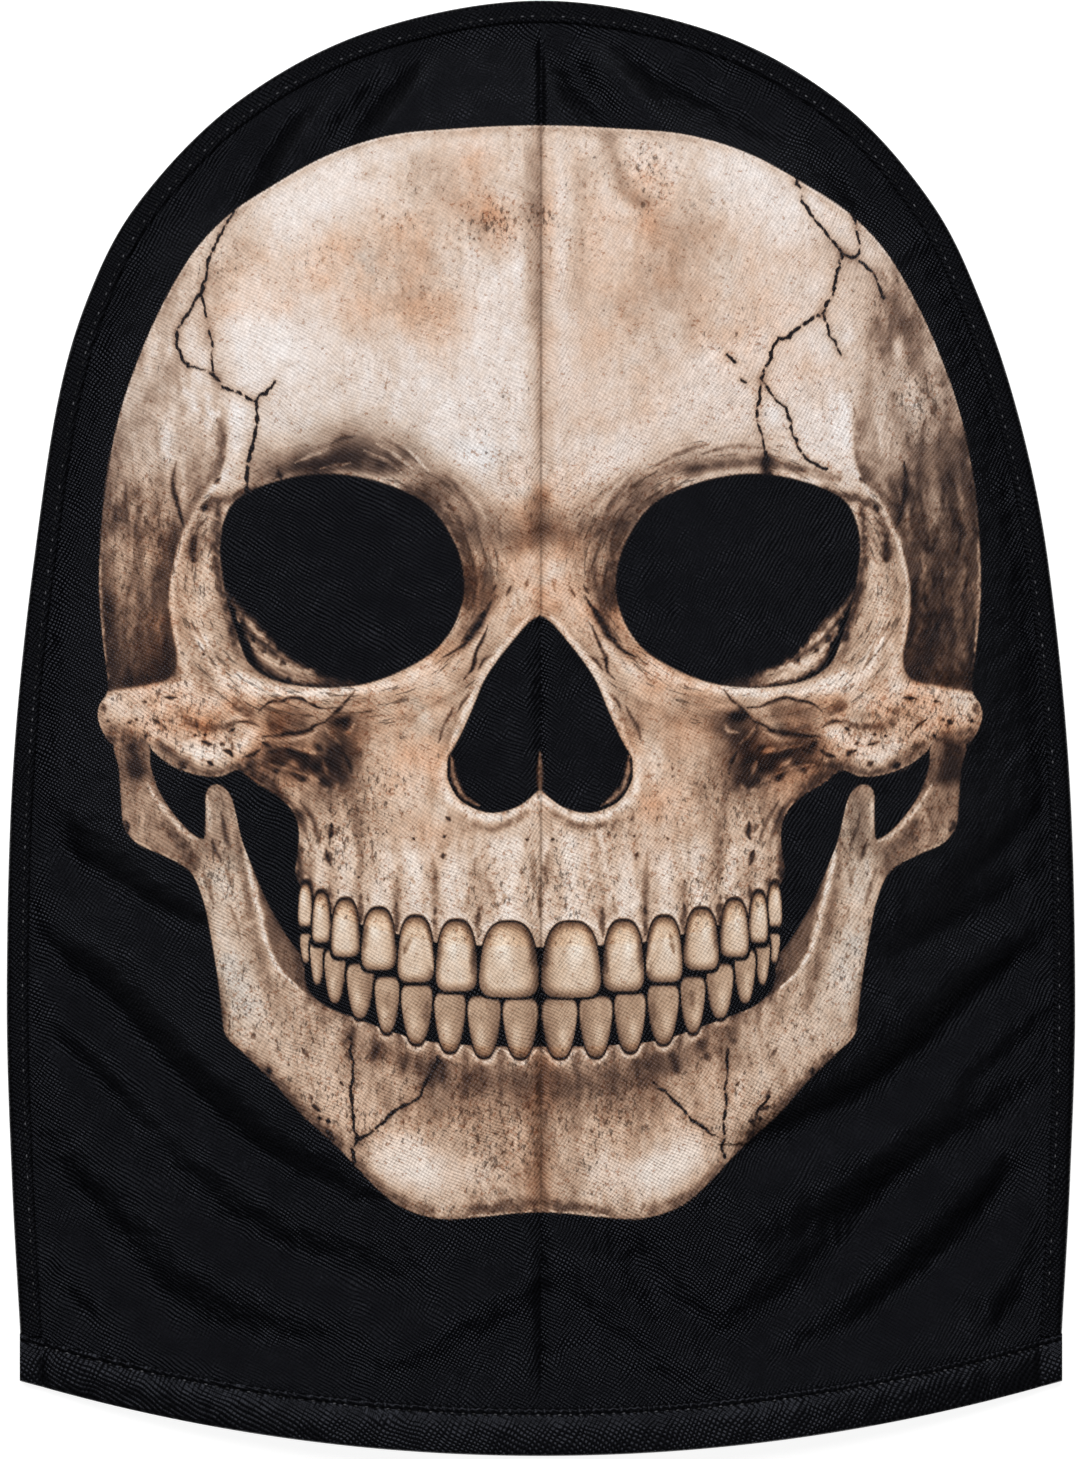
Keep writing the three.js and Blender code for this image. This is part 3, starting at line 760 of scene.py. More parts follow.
class Print:
    """Paints at a set of points, sorted from the top down so that each mark looks only at rows it reaches."""

    def __init__(self, u, v):
        self.order = np.argsort(v, kind="stable")
        self.u = u[self.order]
        self.v = v[self.order]
        self.out = np.abs(self.u - MIDDLE)
        self.tone = np.zeros(len(u))
        self.bone = np.zeros(len(u))
        self.tooth = np.zeros(len(u))
        self.wear = np.zeros(len(u))
        # How far fine and broad marks wander from their path, so that they look hand worn
        away = soft_step(self.out, *CALM_MIDDLE)
        fine_u, fine_v = (noise(self.u, self.v, size=13, seed=seed, octaves=2) for seed in (5, 6))
        broad_u, broad_v = (5 * noise(self.u, self.v, size=60, seed=seed, octaves=2) for seed in (3, 4))
        self.wander = [(fine_u * away, fine_v), ((broad_u + 2.2 * fine_u) * away, broad_v + 2.2 * fine_v)]
        self.wander_u = self.u + self.wander[1][0]
        self.wander_v = self.v + self.wander[1][1]
        sizes = (SMALL, MEDIUM, LARGE)
        self.rough = {size: noise(self.u, self.v, size, 70 + size, octaves=3) for size in sizes}

    def rows(self, low, high):
        return slice(*np.searchsorted(self.v, (low, high)))

    def reach(self, across, down, path, band, pointed=False):
        """Distance from the path, up to band. It counts for more towards the ends of a pointed path."""
        near = np.full(len(self.v), float(band))
        if len(path) == 1:
            path = np.concatenate([path, path])
        for i, (a, b) in enumerate(zip(path[:-1], path[1:])):
            rows = self.rows(min(a[1], b[1]) - band - MOST_WANDER, max(a[1], b[1]) + band + MOST_WANDER)
            run = b - a
            du = across[rows] - a[0]
            dv = down[rows] - a[1]
            along = np.clip((du * run[0] + dv * run[1]) / max(run @ run, 1e-9), 0, 1)
            far = np.hypot(du - along * run[0], dv - along * run[1])
            if pointed:
                far = far / (0.35 + 0.85 * np.sin(np.pi * (i + along) / (len(path) - 1)))
            near[rows] = np.minimum(near[rows], far)
        return near

    def inside(self, outline, band=40):
        """Distance in from a half's outline, below 0 outside it, and never more than band."""
        near = self.reach(self.out, self.v, outline, band)
        within = np.zeros(len(self.v), dtype=bool)
        for a, b in zip(outline[:-1], outline[1:]):
            if a[1] == b[1]:
                continue
            rows = self.rows(min(a[1], b[1]), max(a[1], b[1]))
            cross = a[0] + (self.v[rows] - a[1]) * (b[0] - a[0]) / (b[1] - a[1])
            within[rows] ^= self.out[rows] < cross
        return np.where(within, near, -near)

    def mark(self, across, path, width):
        """How strongly a brush mark along the path shows, from 0 to 1, with a worn edge."""
        broad = width > FINE
        band = MARK_BAND * width
        shift_u, shift_v = self.wander[broad]
        near = self.reach(across + shift_u, self.v + shift_v, smooth_path(path), band, width < POINTED)
        size = SMALL
        if broad:
            size = MEDIUM if width < BROAD else LARGE
        ragged = 0.35 if broad else 0.5
        shape = np.exp(-(near / width) ** 2) * (near < band)
        return np.clip(shape * (1 + ragged * self.rough[size]), 0, 1)

    def lay(self, tone, cover):
        self.tone = self.tone * (1 - cover) + tone * cover

    def lay_bone(self, tone, depth):
        """Lays a tone inside an outline, at whose edge the depth is 0."""
        cover = soft_step(depth, -EDGE, EDGE)
        self.lay(tone, cover)
        self.bone = np.maximum(self.bone, cover)

    def brush(self, tone, across, shades):
        """A tone with a table of lights and shades brushed over it."""
        for amount, width, path in shades:
            mark = self.mark(across, path, width) * abs(amount)
            tone = tone + mark * ((1 - tone) if amount > 0 else -tone)
        return tone


def edge_shade(depth, width):
    """From 1 at an outline to 0 further in."""
    return np.exp(-(np.maximum(depth, 0) / width) ** 2)


def round_orbit(p):
    """Turn and distance round the nearer orbit, and how far the streaks run round it, from 0 to 1."""
    across = (p.out - ORBIT_OUT) / ORBIT_STRETCH
    down = p.v - ORBIT_DOWN
    far = np.hypot(across, down)
    share = soft_step(far, *RING_FADE) * soft_step(p.out, *RING_END)
    return np.arctan2(down, across), far, share


def flow(p):
    """Streaks that run round the orbits, and down the temples and the jaw, from about -1 to 1."""
    turn, far, share = round_orbit(p)
    ring = noise(turn * 20, far + 3 * p.rough[MEDIUM], size=6, seed=12, octaves=3)
    fall = noise(p.wander_u, p.v * 0.22, size=6, seed=13, octaves=3)
    return ring * share + fall * (1 - share)


def texture(p):
    """Mottled bone: broad clouds, blotches, and streaks along the form."""
    clouds = noise(p.wander_u, p.wander_v, size=84, seed=8)
    fine = noise(p.u, p.v, size=5, seed=11, octaves=2)
    streaks = 0.03 + 0.07 * soft_step(p.v, *STREAK_ROWS)
    return 0.05 * clouds + 0.035 * p.rough[MEDIUM] + 0.040 * fine + streaks * flow(p)


def paint_jaw(p, grain):
    """The lower jaw with the roots of its teeth, darker on the inner face of its upright parts."""
    depth = p.inside(smooth_path(JAW))
    tone = JAW_TONE + grain
    tone = tone * (1 - 0.25 * edge_shade(depth, 5))
    tone = p.brush(tone, p.out, JAW_SHADES)
    for inner, outer, _, foot in LOWER_TEETH:
        middle = (inner + outer) / 2
        deep = 40 - 0.11 * inner
        tone = p.brush(tone, p.out, [
            (-0.25, 0.30 * (outer - inner), [(middle, foot + 15), (middle, foot + deep - 6)]),
            (-0.30, 4, [(outer, foot - 4), (outer + 1, foot + deep)]),
            (0.70, 2.6, [(inner + 2, foot - 8), (middle, foot + 5), (outer - 2, foot - 8)]),
        ])
    behind = p.inside(smooth_path(JAW_INSIDE, closed=True))
    tone = tone * (1 - 0.45 * soft_step(behind, -1.5, 1.5))
    p.lay_bone(p.brush(tone, p.out, [JAW_EDGE]), depth)


def paint_skull(p, grain):
    """The skull down to its upper teeth: lighter at the forehead, aged at the temples."""
    depth = p.inside(smooth_path(SKULL))
    tone = FOREHEAD_TONE - CHEEK_DARKER * soft_step(p.v, *CHEEK_ROWS)
    tone = tone + ROOTS_LIGHTER * soft_step(p.v, *ROOT_ROWS) + grain
    temple = p.inside(smooth_path(TEMPLE, closed=True))
    blur = 3 + 40 * (1 - soft_step(p.v, *TEMPLE_EDGE_ROWS))
    side = soft_step(temple / blur, -0.5, 0.6)
    streaks = noise(p.wander_u, p.v * 0.3, size=15, seed=21)
    aged = TEMPLE_TONE - TEMPLE_DARKER * soft_step(p.v, *TEMPLE_ROWS) + 1.6 * grain + 0.17 * streaks
    aged = aged * (1 - 0.45 * edge_shade(temple, 13) * soft_step(p.v, *TEMPLE_SHADE_ROWS))
    tone = tone * (1 - side) + aged * side
    rim = edge_shade(depth, 7) * (1 + 0.6 * p.rough[MEDIUM])
    tone = tone * (1 - 0.22 * rim * soft_step(depth, 0, 4))
    tone = p.brush(tone, p.out, SKULL_SHADES)
    tone = p.brush(tone, p.u, LEFT_SHADES + RIGHT_SHADES)
    for inner, outer, top, _ in UPPER_TEETH:
        middle = (inner + outer) / 2
        tall = 70 - 0.12 * inner
        tone = p.brush(tone, p.out, [
            (0.36, 0.26 * (outer - inner), [(middle, top - tall), (middle, top - 12)]),
            (-0.16, 5, [(outer + 1, top - 0.7 * tall), (outer + 1, top - 6)]),
            (-0.60, 3, [(outer + 1, top - 14), (outer + 1, top + 14)]),
            (0.60, 2.6, [(inner + 3, top + 6), (middle, top - 6), (outer - 3, top + 6)]),
        ])
    # painted shade along the middle seam's groove, wide above the nose and narrow below it
    seam = np.exp(-(p.out / 4) ** 2) * soft_step(p.v, *SEAM_END_ROWS)
    seam = seam + np.exp(-(p.out / 1.6) ** 2) * soft_step(p.v, *SEAM_START_ROWS)
    p.lay_bone(tone * (1 - 0.20 * seam), depth)


def paint_hollows(p, grain):
    """The black orbits with their lit floors, and the black nose with the lit shelf at its foot."""
    orbit = soft_step(p.inside(smooth_path(ORBIT, closed=True)), -1.2, 1.6)
    floor = p.inside(smooth_path(ORBIT_FLOOR, closed=True)) + 2 * p.rough[SMALL]
    shade = (FLOOR_TONE + 2.4 * grain) * (0.35 + 0.65 * soft_step(floor, 0, 6))
    shade = p.brush(shade * soft_step(p.out, *FLOOR_FADE), p.out, FLOOR_SHADES)
    nose = soft_step(p.inside(smooth_path(NOSE)), -1.0, 1.0)
    shelf = np.zeros(len(p.v))
    for strength, width, path in NOSE_LIGHTS:
        shelf = shelf + strength * p.mark(p.out, path, width)
    p.lay(np.maximum(shade * soft_step(floor, -3, 2), 0), orbit)
    p.lay(shelf, nose)
    lit = np.maximum(soft_step(floor, -3, 2) * orbit, (shelf > 0.1) * nose)
    p.bone = np.maximum(p.bone * (1 - np.maximum(orbit, nose)), lit)


def paint_teeth(p, grain):
    """Each tooth narrows to its root, has a dark outline and is lit from above."""
    for teeth, upper, crown, narrowing, brightness, edge_dark in TOOTH_KINDS:
        for inner, outer, top, foot in reversed(teeth):
            rows = p.rows(top - 12, foot + 12)
            wide = (outer - inner) / 2
            s = (p.out[rows] - (inner + outer) / 2) / wide
            t = (p.v[rows] - (top + foot) / 2) / ((foot - top) / 2)
            root = -t if upper else t
            narrow = crown - narrowing * soft_step(root, -0.7, 1.2)
            square = np.where(root > 0, 2.8, 5.0)
            far = (np.abs(s / narrow) ** square + np.abs(t) ** square) ** (1 / square)
            tone = brightness + 0.4 * grain[rows] - 0.05 * root
            tone = tone * (1 - edge_dark * soft_step(far, 0.66, 1.0))
            tone = tone + 0.20 * np.exp(-((s - 0.2) / 0.25) ** 2 - ((root - 0.30) / 0.4) ** 2)
            tone = tone * (1 - 0.22 * soft_step(-s, 0.1, 0.9))
            if not upper:
                tone = tone + 0.16 * np.exp(-((far - 0.88) / 0.07) ** 2) * soft_step(-root, -0.4, 0.4)
                tone = tone * (1 - 0.30 * soft_step(-root, 0.75, 1.0))
            edge = (1 - far) * wide
            halo = soft_step(edge, -2.6, -0.9)
            cover = soft_step(edge, -0.6, 0.8)
            around = p.tone[rows] * (1 - halo) + 0.02 * halo
            p.tone[rows] = around * (1 - cover) + tone * cover
            p.tooth[rows] = np.maximum(p.tooth[rows] * (1 - halo), cover)
    p.tone = mix(p.tone, p.brush(p.tone, p.out, TOOTH_SHADES), p.tooth)


def paint_cracks(p):
    """Dark cracks of uneven width, each in a faint shade."""
    rng = np.random.default_rng(7)
    for width, path in CRACKS:
        path = smooth_path(path, steps=4)
        path[1:-1] += rng.normal(0, 0.9, (len(path) - 2, 2))
        near = p.reach(p.u, p.v, path, CRACK_BAND)
        wide = width * (0.95 + 0.9 * p.rough[SMALL])
        p.tone = p.tone * (1 - 0.18 * np.exp(-(near / 5) ** 2) * (near < CRACK_BAND))
        line = 1 - soft_step(near, 0.6 * wide, 0.6 * wide + 1.0)
        p.lay(CRACK_TONE, line * soft_step(wide, 0.2, 0.8))


def paint_flecks(p):
    """How worn the bone is, and small dark dashes along its streaks where it is."""
    worn = 0.25 + 0.45 * soft_step(p.v, *WORN_ROWS) + 0.30 * p.rough[LARGE]
    for strength, width, path in WORN:
        worn = worn + strength * p.mark(p.u, path, width)
    p.wear = np.clip(worn, 0, 1) * p.bone
    turn, far, share = round_orbit(p)
    ring = noise(turn * 34, far, size=4.2, seed=32, octaves=2)
    fall = noise(p.wander_u, p.v * 0.45, size=4.2, seed=33, octaves=2)
    dash = ring * share + fall * (1 - share)
    cut = 1.25 - 0.60 * p.wear
    p.tone = p.tone * (1 - 0.30 * soft_step(dash, cut, cut + 0.3) * p.bone)


def ramp(tone):
    """Colours of the bone's tones, from 0 to 255."""
    places = [place for place, _ in RAMP]
    return np.stack([np.interp(tone, places, [rgb[k] for _, rgb in RAMP]) for k in range(3)], axis=1)


def tinted(color, tint, cover):
    """Colours with a tint laid over them."""
    return color * (1 - cover[:, None] * (1 - np.array(TINTS[tint])))


def paint(u, v):
    """Colours from 0 to 255, how far each place is bone, and how worn it is."""
    p = Print(u, v)
    grain = texture(p)
    paint_jaw(p, grain)
    paint_skull(p, grain)
    paint_hollows(p, grain)
    paint_flecks(p)
    paint_cracks(p)
    paint_teeth(p, grain)
    color = ramp(np.clip(p.tone, 0, 1))
    speck = 0.6 + 0.5 * noise(p.u, p.v, size=26, seed=61)
    for tint, strength, width, path in STAINS:
        color = tinted(color, tint, p.mark(p.u, path, width) * strength * speck * p.bone)
    color = tinted(color, "tan", (0.05 + 0.28 * soft_step(p.v, *TAN_ROWS)) * p.bone)
    color = tinted(color, "tooth", 0.55 * p.tooth)
    bone = np.maximum(p.bone, p.tooth)
    color = color * bone[:, None] + np.array(BLACK) * (1 - bone[:, None])
    back = np.empty(len(p.v), dtype=int)
    back[p.order] = np.arange(len(p.v))
    return color[back], bone[back], p.wear[back]


# Shapes of the cloth, in millimetres

def rim_line(samples=1200):
    """Points of the outline from the left lower corner over the crown to the right one, and its length."""
    right = [(half, CROWN_Y - down) for down, half in OUTLINE]
    left = [(-half, y) for half, y in reversed(right[1:])]
    path = smooth_path(left + right, steps=60)
    lowest = path[-1] + TUCK * (path[-1] - path[-2]) / np.linalg.norm(path[-1] - path[-2])
    path = np.concatenate([[lowest * (-1, 1)], path, [lowest]])
    lean = np.clip((path[:, 1] - DOME_FROM) / (CROWN_Y - DOME_FROM), 0, 1)
    path[:, 0] -= DOME_SHIFT * np.sin(np.pi * lean) ** 2
    way = np.concatenate([[0], np.cumsum(np.hypot(*np.diff(path, axis=0).T))])
    even = np.linspace(0, way[-1], samples)
    return np.stack([np.interp(even, way, path[:, k]) for k in (0, 1)], axis=1), way[-1]


RIM, RIM_LENGTH = rim_line()
RIM_ALONG = np.gradient(RIM, axis=0)
RIM_ALONG /= np.linalg.norm(RIM_ALONG, axis=1)[:, None]
RIM_PLACES = np.linspace(0, 1, len(RIM))
# Share of the way round at which the rim crosses the middle line
NEAR_CROWN = RIM[:, 1] > CROWN_Y - 20
CROWN_WAY = np.interp(0, RIM[NEAR_CROWN, 0], RIM_PLACES[NEAR_CROWN])


def rim_inset(way, inset):
    """A point of the rim moved into the mask, at a share of the way round from the left corner."""
    x, y = (np.interp(way, RIM_PLACES, RIM[:, k]) for k in (0, 1))
    along_x, along_y = (np.interp(way, RIM_PLACES, RIM_ALONG[:, k]) for k in (0, 1))
    return x + along_y * inset, y - along_x * inset


def path_distance(x, y, path):
    """Distance from a path, and the place along it from 0 to 1."""
    near = np.full(len(x), np.inf)
    way = np.zeros(len(x))
    for i, (a, b) in enumerate(zip(path[:-1], path[1:])):
        run = b - a
        along = np.clip(((x - a[0]) * run[0] + (y - a[1]) * run[1]) / (run @ run), 0, 1)
        distance = np.hypot(x - a[0] - along * run[0], y - a[1] - along * run[1])
        way = np.where(distance < near, (i + along) / (len(path) - 1), way)
        near = np.minimum(near, distance)
    return near, way


def rim_distance(x, y):
    """Distance from the rim, for which every eighth of its points is enough."""
    return path_distance(x, y, RIM[::8])[0]


def mouth_edge(x):
    """Where the mouth's edge lies along the mask, lowest in the middle."""
    return MOUTH_Y + HEM_DROP * (x / CORNER_HALF) ** 2


def layers(sizes):
    """Heights in the rim from the table up: back, front, the front's outer face and the tape's top."""
    back = mm(sizes.tape_wall) + GAP
    front = back + mm(sizes.cloth) + GAP
    top = front + mm(sizes.cloth)
    return back, front, top, top + GAP + mm(sizes.tape_wall)


def fold_height(x, y):
    """Creases that run in from the rim, each with two widths and tapered at both ends."""
    height = np.zeros(len(x))
    for depth, upper, lower, points in FOLDS:
        path = smooth_path(points)
        distance, way = path_distance(x, y, path)
        middle = np.interp(way, np.linspace(0, 1, len(path)), path[:, 1])
        width = np.where(y > middle, upper, lower)
        taper = np.sqrt(np.sin(np.pi * mix(FOLD_TAPER, 1 - FOLD_TAPER, way)))
        height -= depth * taper * np.exp(-(distance / width) ** 2)
    return height


def wrinkles(x, y):
    """Low uneven waves of slack cloth, and the sunk middle seam with a soft welt on each side of it."""
    slack = SLACK * noise(x + 0.7 * y, y - 0.4 * x, size=26, seed=71, octaves=3)
    in_nose = np.exp(-((y - NOSE_SEAM_Y) / NOSE_SEAM_RUN) ** 2)
    lower = soft_step(y, *CHIN_SEAM) + in_nose
    deep = SEAM_DEPTH + CROWN_SEAM_DEPTH * soft_step(y, *CROWN_SEAM) + LOWER_SEAM_DEPTH * lower
    welt = WELT * np.exp(-((np.abs(x) - WELT_PLACE) / WELT_WIDTH) ** 2)
    return slack + (-deep * np.exp(-(x / SEAM_WIDTH) ** 2) + welt)


def front_top(sizes, x, y):
    """The front's outer face: an inflated form that rises from the tape and is open at the mouth."""
    rim_top = layers(sizes)[2]
    from_tape = rim_distance(x, y) - mm(sizes.tape_width) - GAP
    above_hem = y - mouth_edge(x) - mm(sizes.hem_depth)
    crest = (FRONT_HEIGHT - rim_top) * (1 - (1 - np.clip(from_tape / RISE_RUN, 0, 1)) ** RISE_POWER)
    mouth = mix(MOUTH_SHARE, 1, soft_step(above_hem, 0, MOUTH_RUN))
    fade = np.clip(from_tape / FOLD_FADE, 0, 1) * np.clip(above_hem / FOLD_FADE, 0, 1)
    return rim_top + np.maximum(crest * mouth + (fold_height(x, y) + wrinkles(x, y)) * fade, 0)


def half_plan(sizes, side, across, along, tape_share):
    """Plan of a half panel, which lies to the left for a side of -1: across from the middle line to the rim,
    along from the hem to the crown."""
    corner_way = 0.5 + side / 2
    way = mix(corner_way, CROWN_WAY, along)
    inset = mm(sizes.tape_width) + GAP
    edge_x, edge_y = rim_inset(way, inset)
    share = np.clip(across / (1 - tape_share), 0, 1)
    foot_y = MOUTH_Y + mm(sizes.hem_depth) - TUCK
    middle_y = mix(foot_y, CROWN_Y - inset, along)
    x = np.maximum(side * edge_x, 0) * share
    y = mix(middle_y, edge_y, share ** 2)
    under = np.clip((across - 1 + tape_share) / tape_share, 0, 1)
    tucked_x, tucked_y = rim_inset(way, mix(inset, mm(sizes.tape_wall) + GAP, under))
    x = np.where(under > 0, np.maximum(side * tucked_x, 0), x)
    y = np.where(under > 0, tucked_y, y)
    hem_line = mouth_edge(x) + mm(sizes.hem_depth) - TUCK
    lowest = mix(foot_y, rim_inset(corner_way, inset)[1], share ** 2)
    drop = (hem_line - lowest) * np.clip(1 - 4 * along, 0, 1) ** 2
    return side * x, np.maximum(y + drop, hem_line)


# Finishes

# Sheen of the black cloth, its roughness and tint, and how bright the ink is
SHEEN, GLOSS = 0.128, 0.36
SHEEN_TINT = (0.78, 0.82, 1, 1)
INK = 1.08
# Waves of the cloth against the height of its loops, and their size
CRINKLE, CRINKLE_SIZE = 4, 5.0
# Brightness of the painted shade in furrows and the painted sheen on loops, in black cloth and on the bone,
# and of the painted shade and sheen along a thread
BLACK_KNIT_SHADE_AND_SHEEN, BONE_KNIT_SHADE_AND_SHEEN, THREAD_SHADE_AND_SHEEN = (0.2, 3.2), (0.90, 1.08), (0.1, 1.6)
# The knit: the direction across its rows, and the waves, swing and height of rows and columns
KNIT_LEAN = (0.5, 0.87)
ROW_WAVE, ROW_SWING, ROW_HEIGHT = 18, 36, 0.27
COLUMN_WAVE, COLUMN_SWING, COLUMN_HEIGHT = 13, 26, 0.23
# Size of a thread's twist, and the range of its noise from painted shade to painted sheen
TWIST_SIZE, TWIST_RANGE = 2.2, (0.42, 0.62)
# Depths of the bumps of the panels, the hems and the tape
CLOTH_BUMP, HEM_BUMP, TAPE_BUMP = 0.24, 0.16, 0.15
# The streaks of fine dashes run round a middle in the orbit, narrowed by a share
RING_X, RING_Y, RING_SQUEEZE = 49.5, 36.5, 0.83
# Where they end: distance from that middle, and from the middle line
RING_RANGE, RING_SIDE = (48, 33), (94, 89)
# How often they change round the orbit and away from it, and how they are stretched on the rest of the bone
RING_TURNS, RING_LINES, FALL_STRETCH = 6, 1.1, (1.05, 0.5, 1)
# Detail and roughness of their noise, and their contrast on clean and on worn bone
STREAK_GRAIN = (2.5, 0.6)
CLEAN_CONTRAST, WORN_CONTRAST = 0.12, 0.26
# Noise above which a dash shows, how much lower that is on worn bone, and the softness of marks
DASH_CUT, DASH_WEAR, MARK_EDGE = 0.73, 0.16, 0.04
# The same for specks, with their size and contrast
SPECK_CUT, SPECK_WEAR, SPECK_SIZE, SPECK_CONTRAST = 0.635, 0.08, 1.1, 0.5
# Fissures: size, half-width in their noise, then the size, wear and range of the patches that have them
FISSURE_SIZE, FISSURE_LINE = 7.0, (0.012, 0.003)
PATCH_SIZE, PATCH_WEAR, PATCH_RANGE = 11.0, 0.2, (0.60, 0.68)
# How strongly specks, dashes, fissures and the painted shade of the middle seam show
SPECK_SHARE, DASH_SHARE, FISSURE_SHARE, SEAM_SHADE_SHARE = 0.7, 0.62, 0.4, 0.45
# Distances from the middle line at which the seam's painted shade ends and is darkest
SEAM_SHADE_LINE = (0.55, 0.1)


class Value:
    """A node's output. Its operators add Math nodes."""

    def __init__(self, finish, socket):
        self.finish = finish
        self.socket = socket

    def math(self, operation, first, second=0.0):
        return self.finish.node("ShaderNodeMath", {"operation": operation}, {0: first, 1: second})

    def __add__(self, other):
        return self.math("ADD", self, other)

    def __sub__(self, other):
        return self.math("SUBTRACT", self, other)

    def __rsub__(self, other):
        return self.math("SUBTRACT", other, self)

    def __mul__(self, other):
        return self.math("MULTIPLY", self, other)

    def __abs__(self):
        return self.math("ABSOLUTE", self)

    def sine(self):
        return self.math("SINE", self)

    __radd__ = __add__
    __rmul__ = __mul__


class Finish:
    """A material in the making: its shader's constants are set first, then nodes feed what varies."""

    def __init__(self, name, **constants):
        self.material = bpy.data.materials.new(name)
        self.material.use_nodes = True
        self.tree = self.material.node_tree
        self.shader = self.tree.nodes["Principled BSDF"]
        for socket, value in constants.items():
            self.shader.inputs[socket.replace("_", " ")].default_value = value

    def node(self, kind, settings=None, sockets=None, output=0):
        node = self.tree.nodes.new(kind)
        for setting, value in (settings or {}).items():
            setattr(node, setting, value)
        for socket, value in (sockets or {}).items():
            self.plug(node.inputs[socket], value)
        return Value(self, node.outputs[output])

    def plug(self, socket, value):
        if isinstance(value, Value):
            self.tree.links.new(value.socket, socket)
        else:
            socket.default_value = value

    def feed(self, socket, value):
        self.plug(self.shader.inputs[socket], value)

    def place(self, *scale):
        """Object coordinates in millimetres, stretched by a scale along each axis."""
        where = self.node("ShaderNodeTexCoord", output="Object")
        return self.node("ShaderNodeMapping", {}, {"Vector": where, "Scale": [s / MM for s in scale]})

    def part(self, where, axis):
        """One of a place's three coordinates."""
        return self.node("ShaderNodeSeparateXYZ", {}, {0: where}, output=axis)

    def join(self, x=0.0, y=0.0, z=0.0):
        return self.node("ShaderNodeCombineXYZ", {}, {0: x, 1: y, 2: z})

    def vector(self, operation, first, second=(0, 0, 0), output=0):
        return self.node("ShaderNodeVectorMath", {"operation": operation}, {0: first, 1: second}, output)

    def painted(self, name, output):
        """What was painted on the mesh under a name."""
        return self.node("ShaderNodeAttribute", {"attribute_name": name}, output=output)

    def blend(self, how, share, first, second):
        settings = {"data_type": "RGBA", "blend_type": how}
        return self.node("ShaderNodeMix", settings, {0: share, 6: first, 7: second}, output=2)

    def noise(self, where, size, detail=2.0, roughness=0.5):
        sockets = {"Vector": where, "Scale": 1 / size, "Detail": detail, "Roughness": roughness}
        return self.node("ShaderNodeTexNoise", {}, sockets)

    def range(self, value, low, high, to_low=0.0, to_high=1.0):
        sockets = {"Value": value, 1: low, 2: high, 3: to_low, 4: to_high}
        return self.node("ShaderNodeMapRange", {"interpolation_type": "SMOOTHSTEP"}, sockets)

    def bump(self, height, depth):
        """Feeds the shader's normal from a height, whose full range is a depth in millimetres."""
        sockets = {"Height": height, "Distance": depth * MM, "Strength": 1.0}
        self.feed("Normal", self.node("ShaderNodeBump", {}, sockets))


def shaded(color, share):
    """A colour darkened or lightened, with its alpha."""
    return [share * c for c in color] + [1]


def knit(finish, size):
    """Fine wavy rows of loops, from 0 in the furrows to 1 on the loops."""
    where = finish.place(1, 1, 1)
    x = finish.part(where, 0)
    y = finish.part(where, 1)
    lean_x, lean_y = KNIT_LEAN
    per_loop = 2 * np.pi / size
    row = (x * lean_x + y * lean_y) * per_loop + finish.noise(where, ROW_WAVE) * ROW_SWING
    column = (x * lean_y - y * lean_x) * per_loop + finish.noise(where, COLUMN_WAVE) * COLUMN_SWING
    return 0.5 + row.sine() * ROW_HEIGHT + column.sine() * COLUMN_HEIGHT


def crinkle(finish):
    """Low uneven waves of the cloth, a few millimetres long."""
    return finish.noise(finish.place(1, 1, 1), CRINKLE_SIZE) * CRINKLE


def cloth_finish(name, color, size, depth, sheen):
    """Dark cloth, with painted shade in the knit's furrows and painted sheen where its loops catch the light.
    """
    finish = Finish(name, Roughness=GLOSS, Specular_IOR_Level=sheen, Specular_Tint=SHEEN_TINT)
    loops = knit(finish, size)
    # painted shade in the knit's furrows and painted sheen on its loops
    furrow, loop = (shaded(color, share) for share in BLACK_KNIT_SHADE_AND_SHEEN)
    finish.feed("Base Color", finish.blend("MIX", loops, furrow, loop))
    finish.bump(loops + crinkle(finish), depth)
    return finish.material


def bone_dashes(finish, worn):
    """Dashes and ridges along the bone's streaks, which run round the orbits and down the rest."""
    where = finish.place(1, 1, 1)
    out = abs(finish.part(where, 0))
    spoke = finish.join((out - RING_X) * RING_SQUEEZE, finish.part(where, 1) - RING_Y)
    far = finish.vector("LENGTH", spoke, output=1)
    turn = finish.vector("MULTIPLY", finish.vector("NORMALIZE", spoke), (RING_TURNS, RING_TURNS, 0))
    ring = finish.vector("ADD", turn, finish.join(z=far * RING_LINES))
    rings = finish.noise(ring, 1.0, *STREAK_GRAIN)
    falling = finish.noise(finish.place(*FALL_STRETCH), 1.0, *STREAK_GRAIN)
    near = finish.range(far, *RING_RANGE) * finish.range(out, *RING_SIDE)
    streak = rings * near + falling * (1 - near)
    cut = DASH_CUT - worn * DASH_WEAR
    return finish.range(streak - cut, 0.0, MARK_EDGE), streak


def fissures(finish, worn):
    """Fine wandering cracks, in patches where the bone is worn."""
    cloud = finish.noise(finish.place(1, 1, 1), FISSURE_SIZE, detail=4.0, roughness=0.6)
    patch = finish.noise(finish.place(1, 1, 1), PATCH_SIZE, detail=1.0)
    line = finish.range(abs(cloud - 0.5), *FISSURE_LINE)
    return line * finish.range(patch + worn * PATCH_WEAR, *PATCH_RANGE)


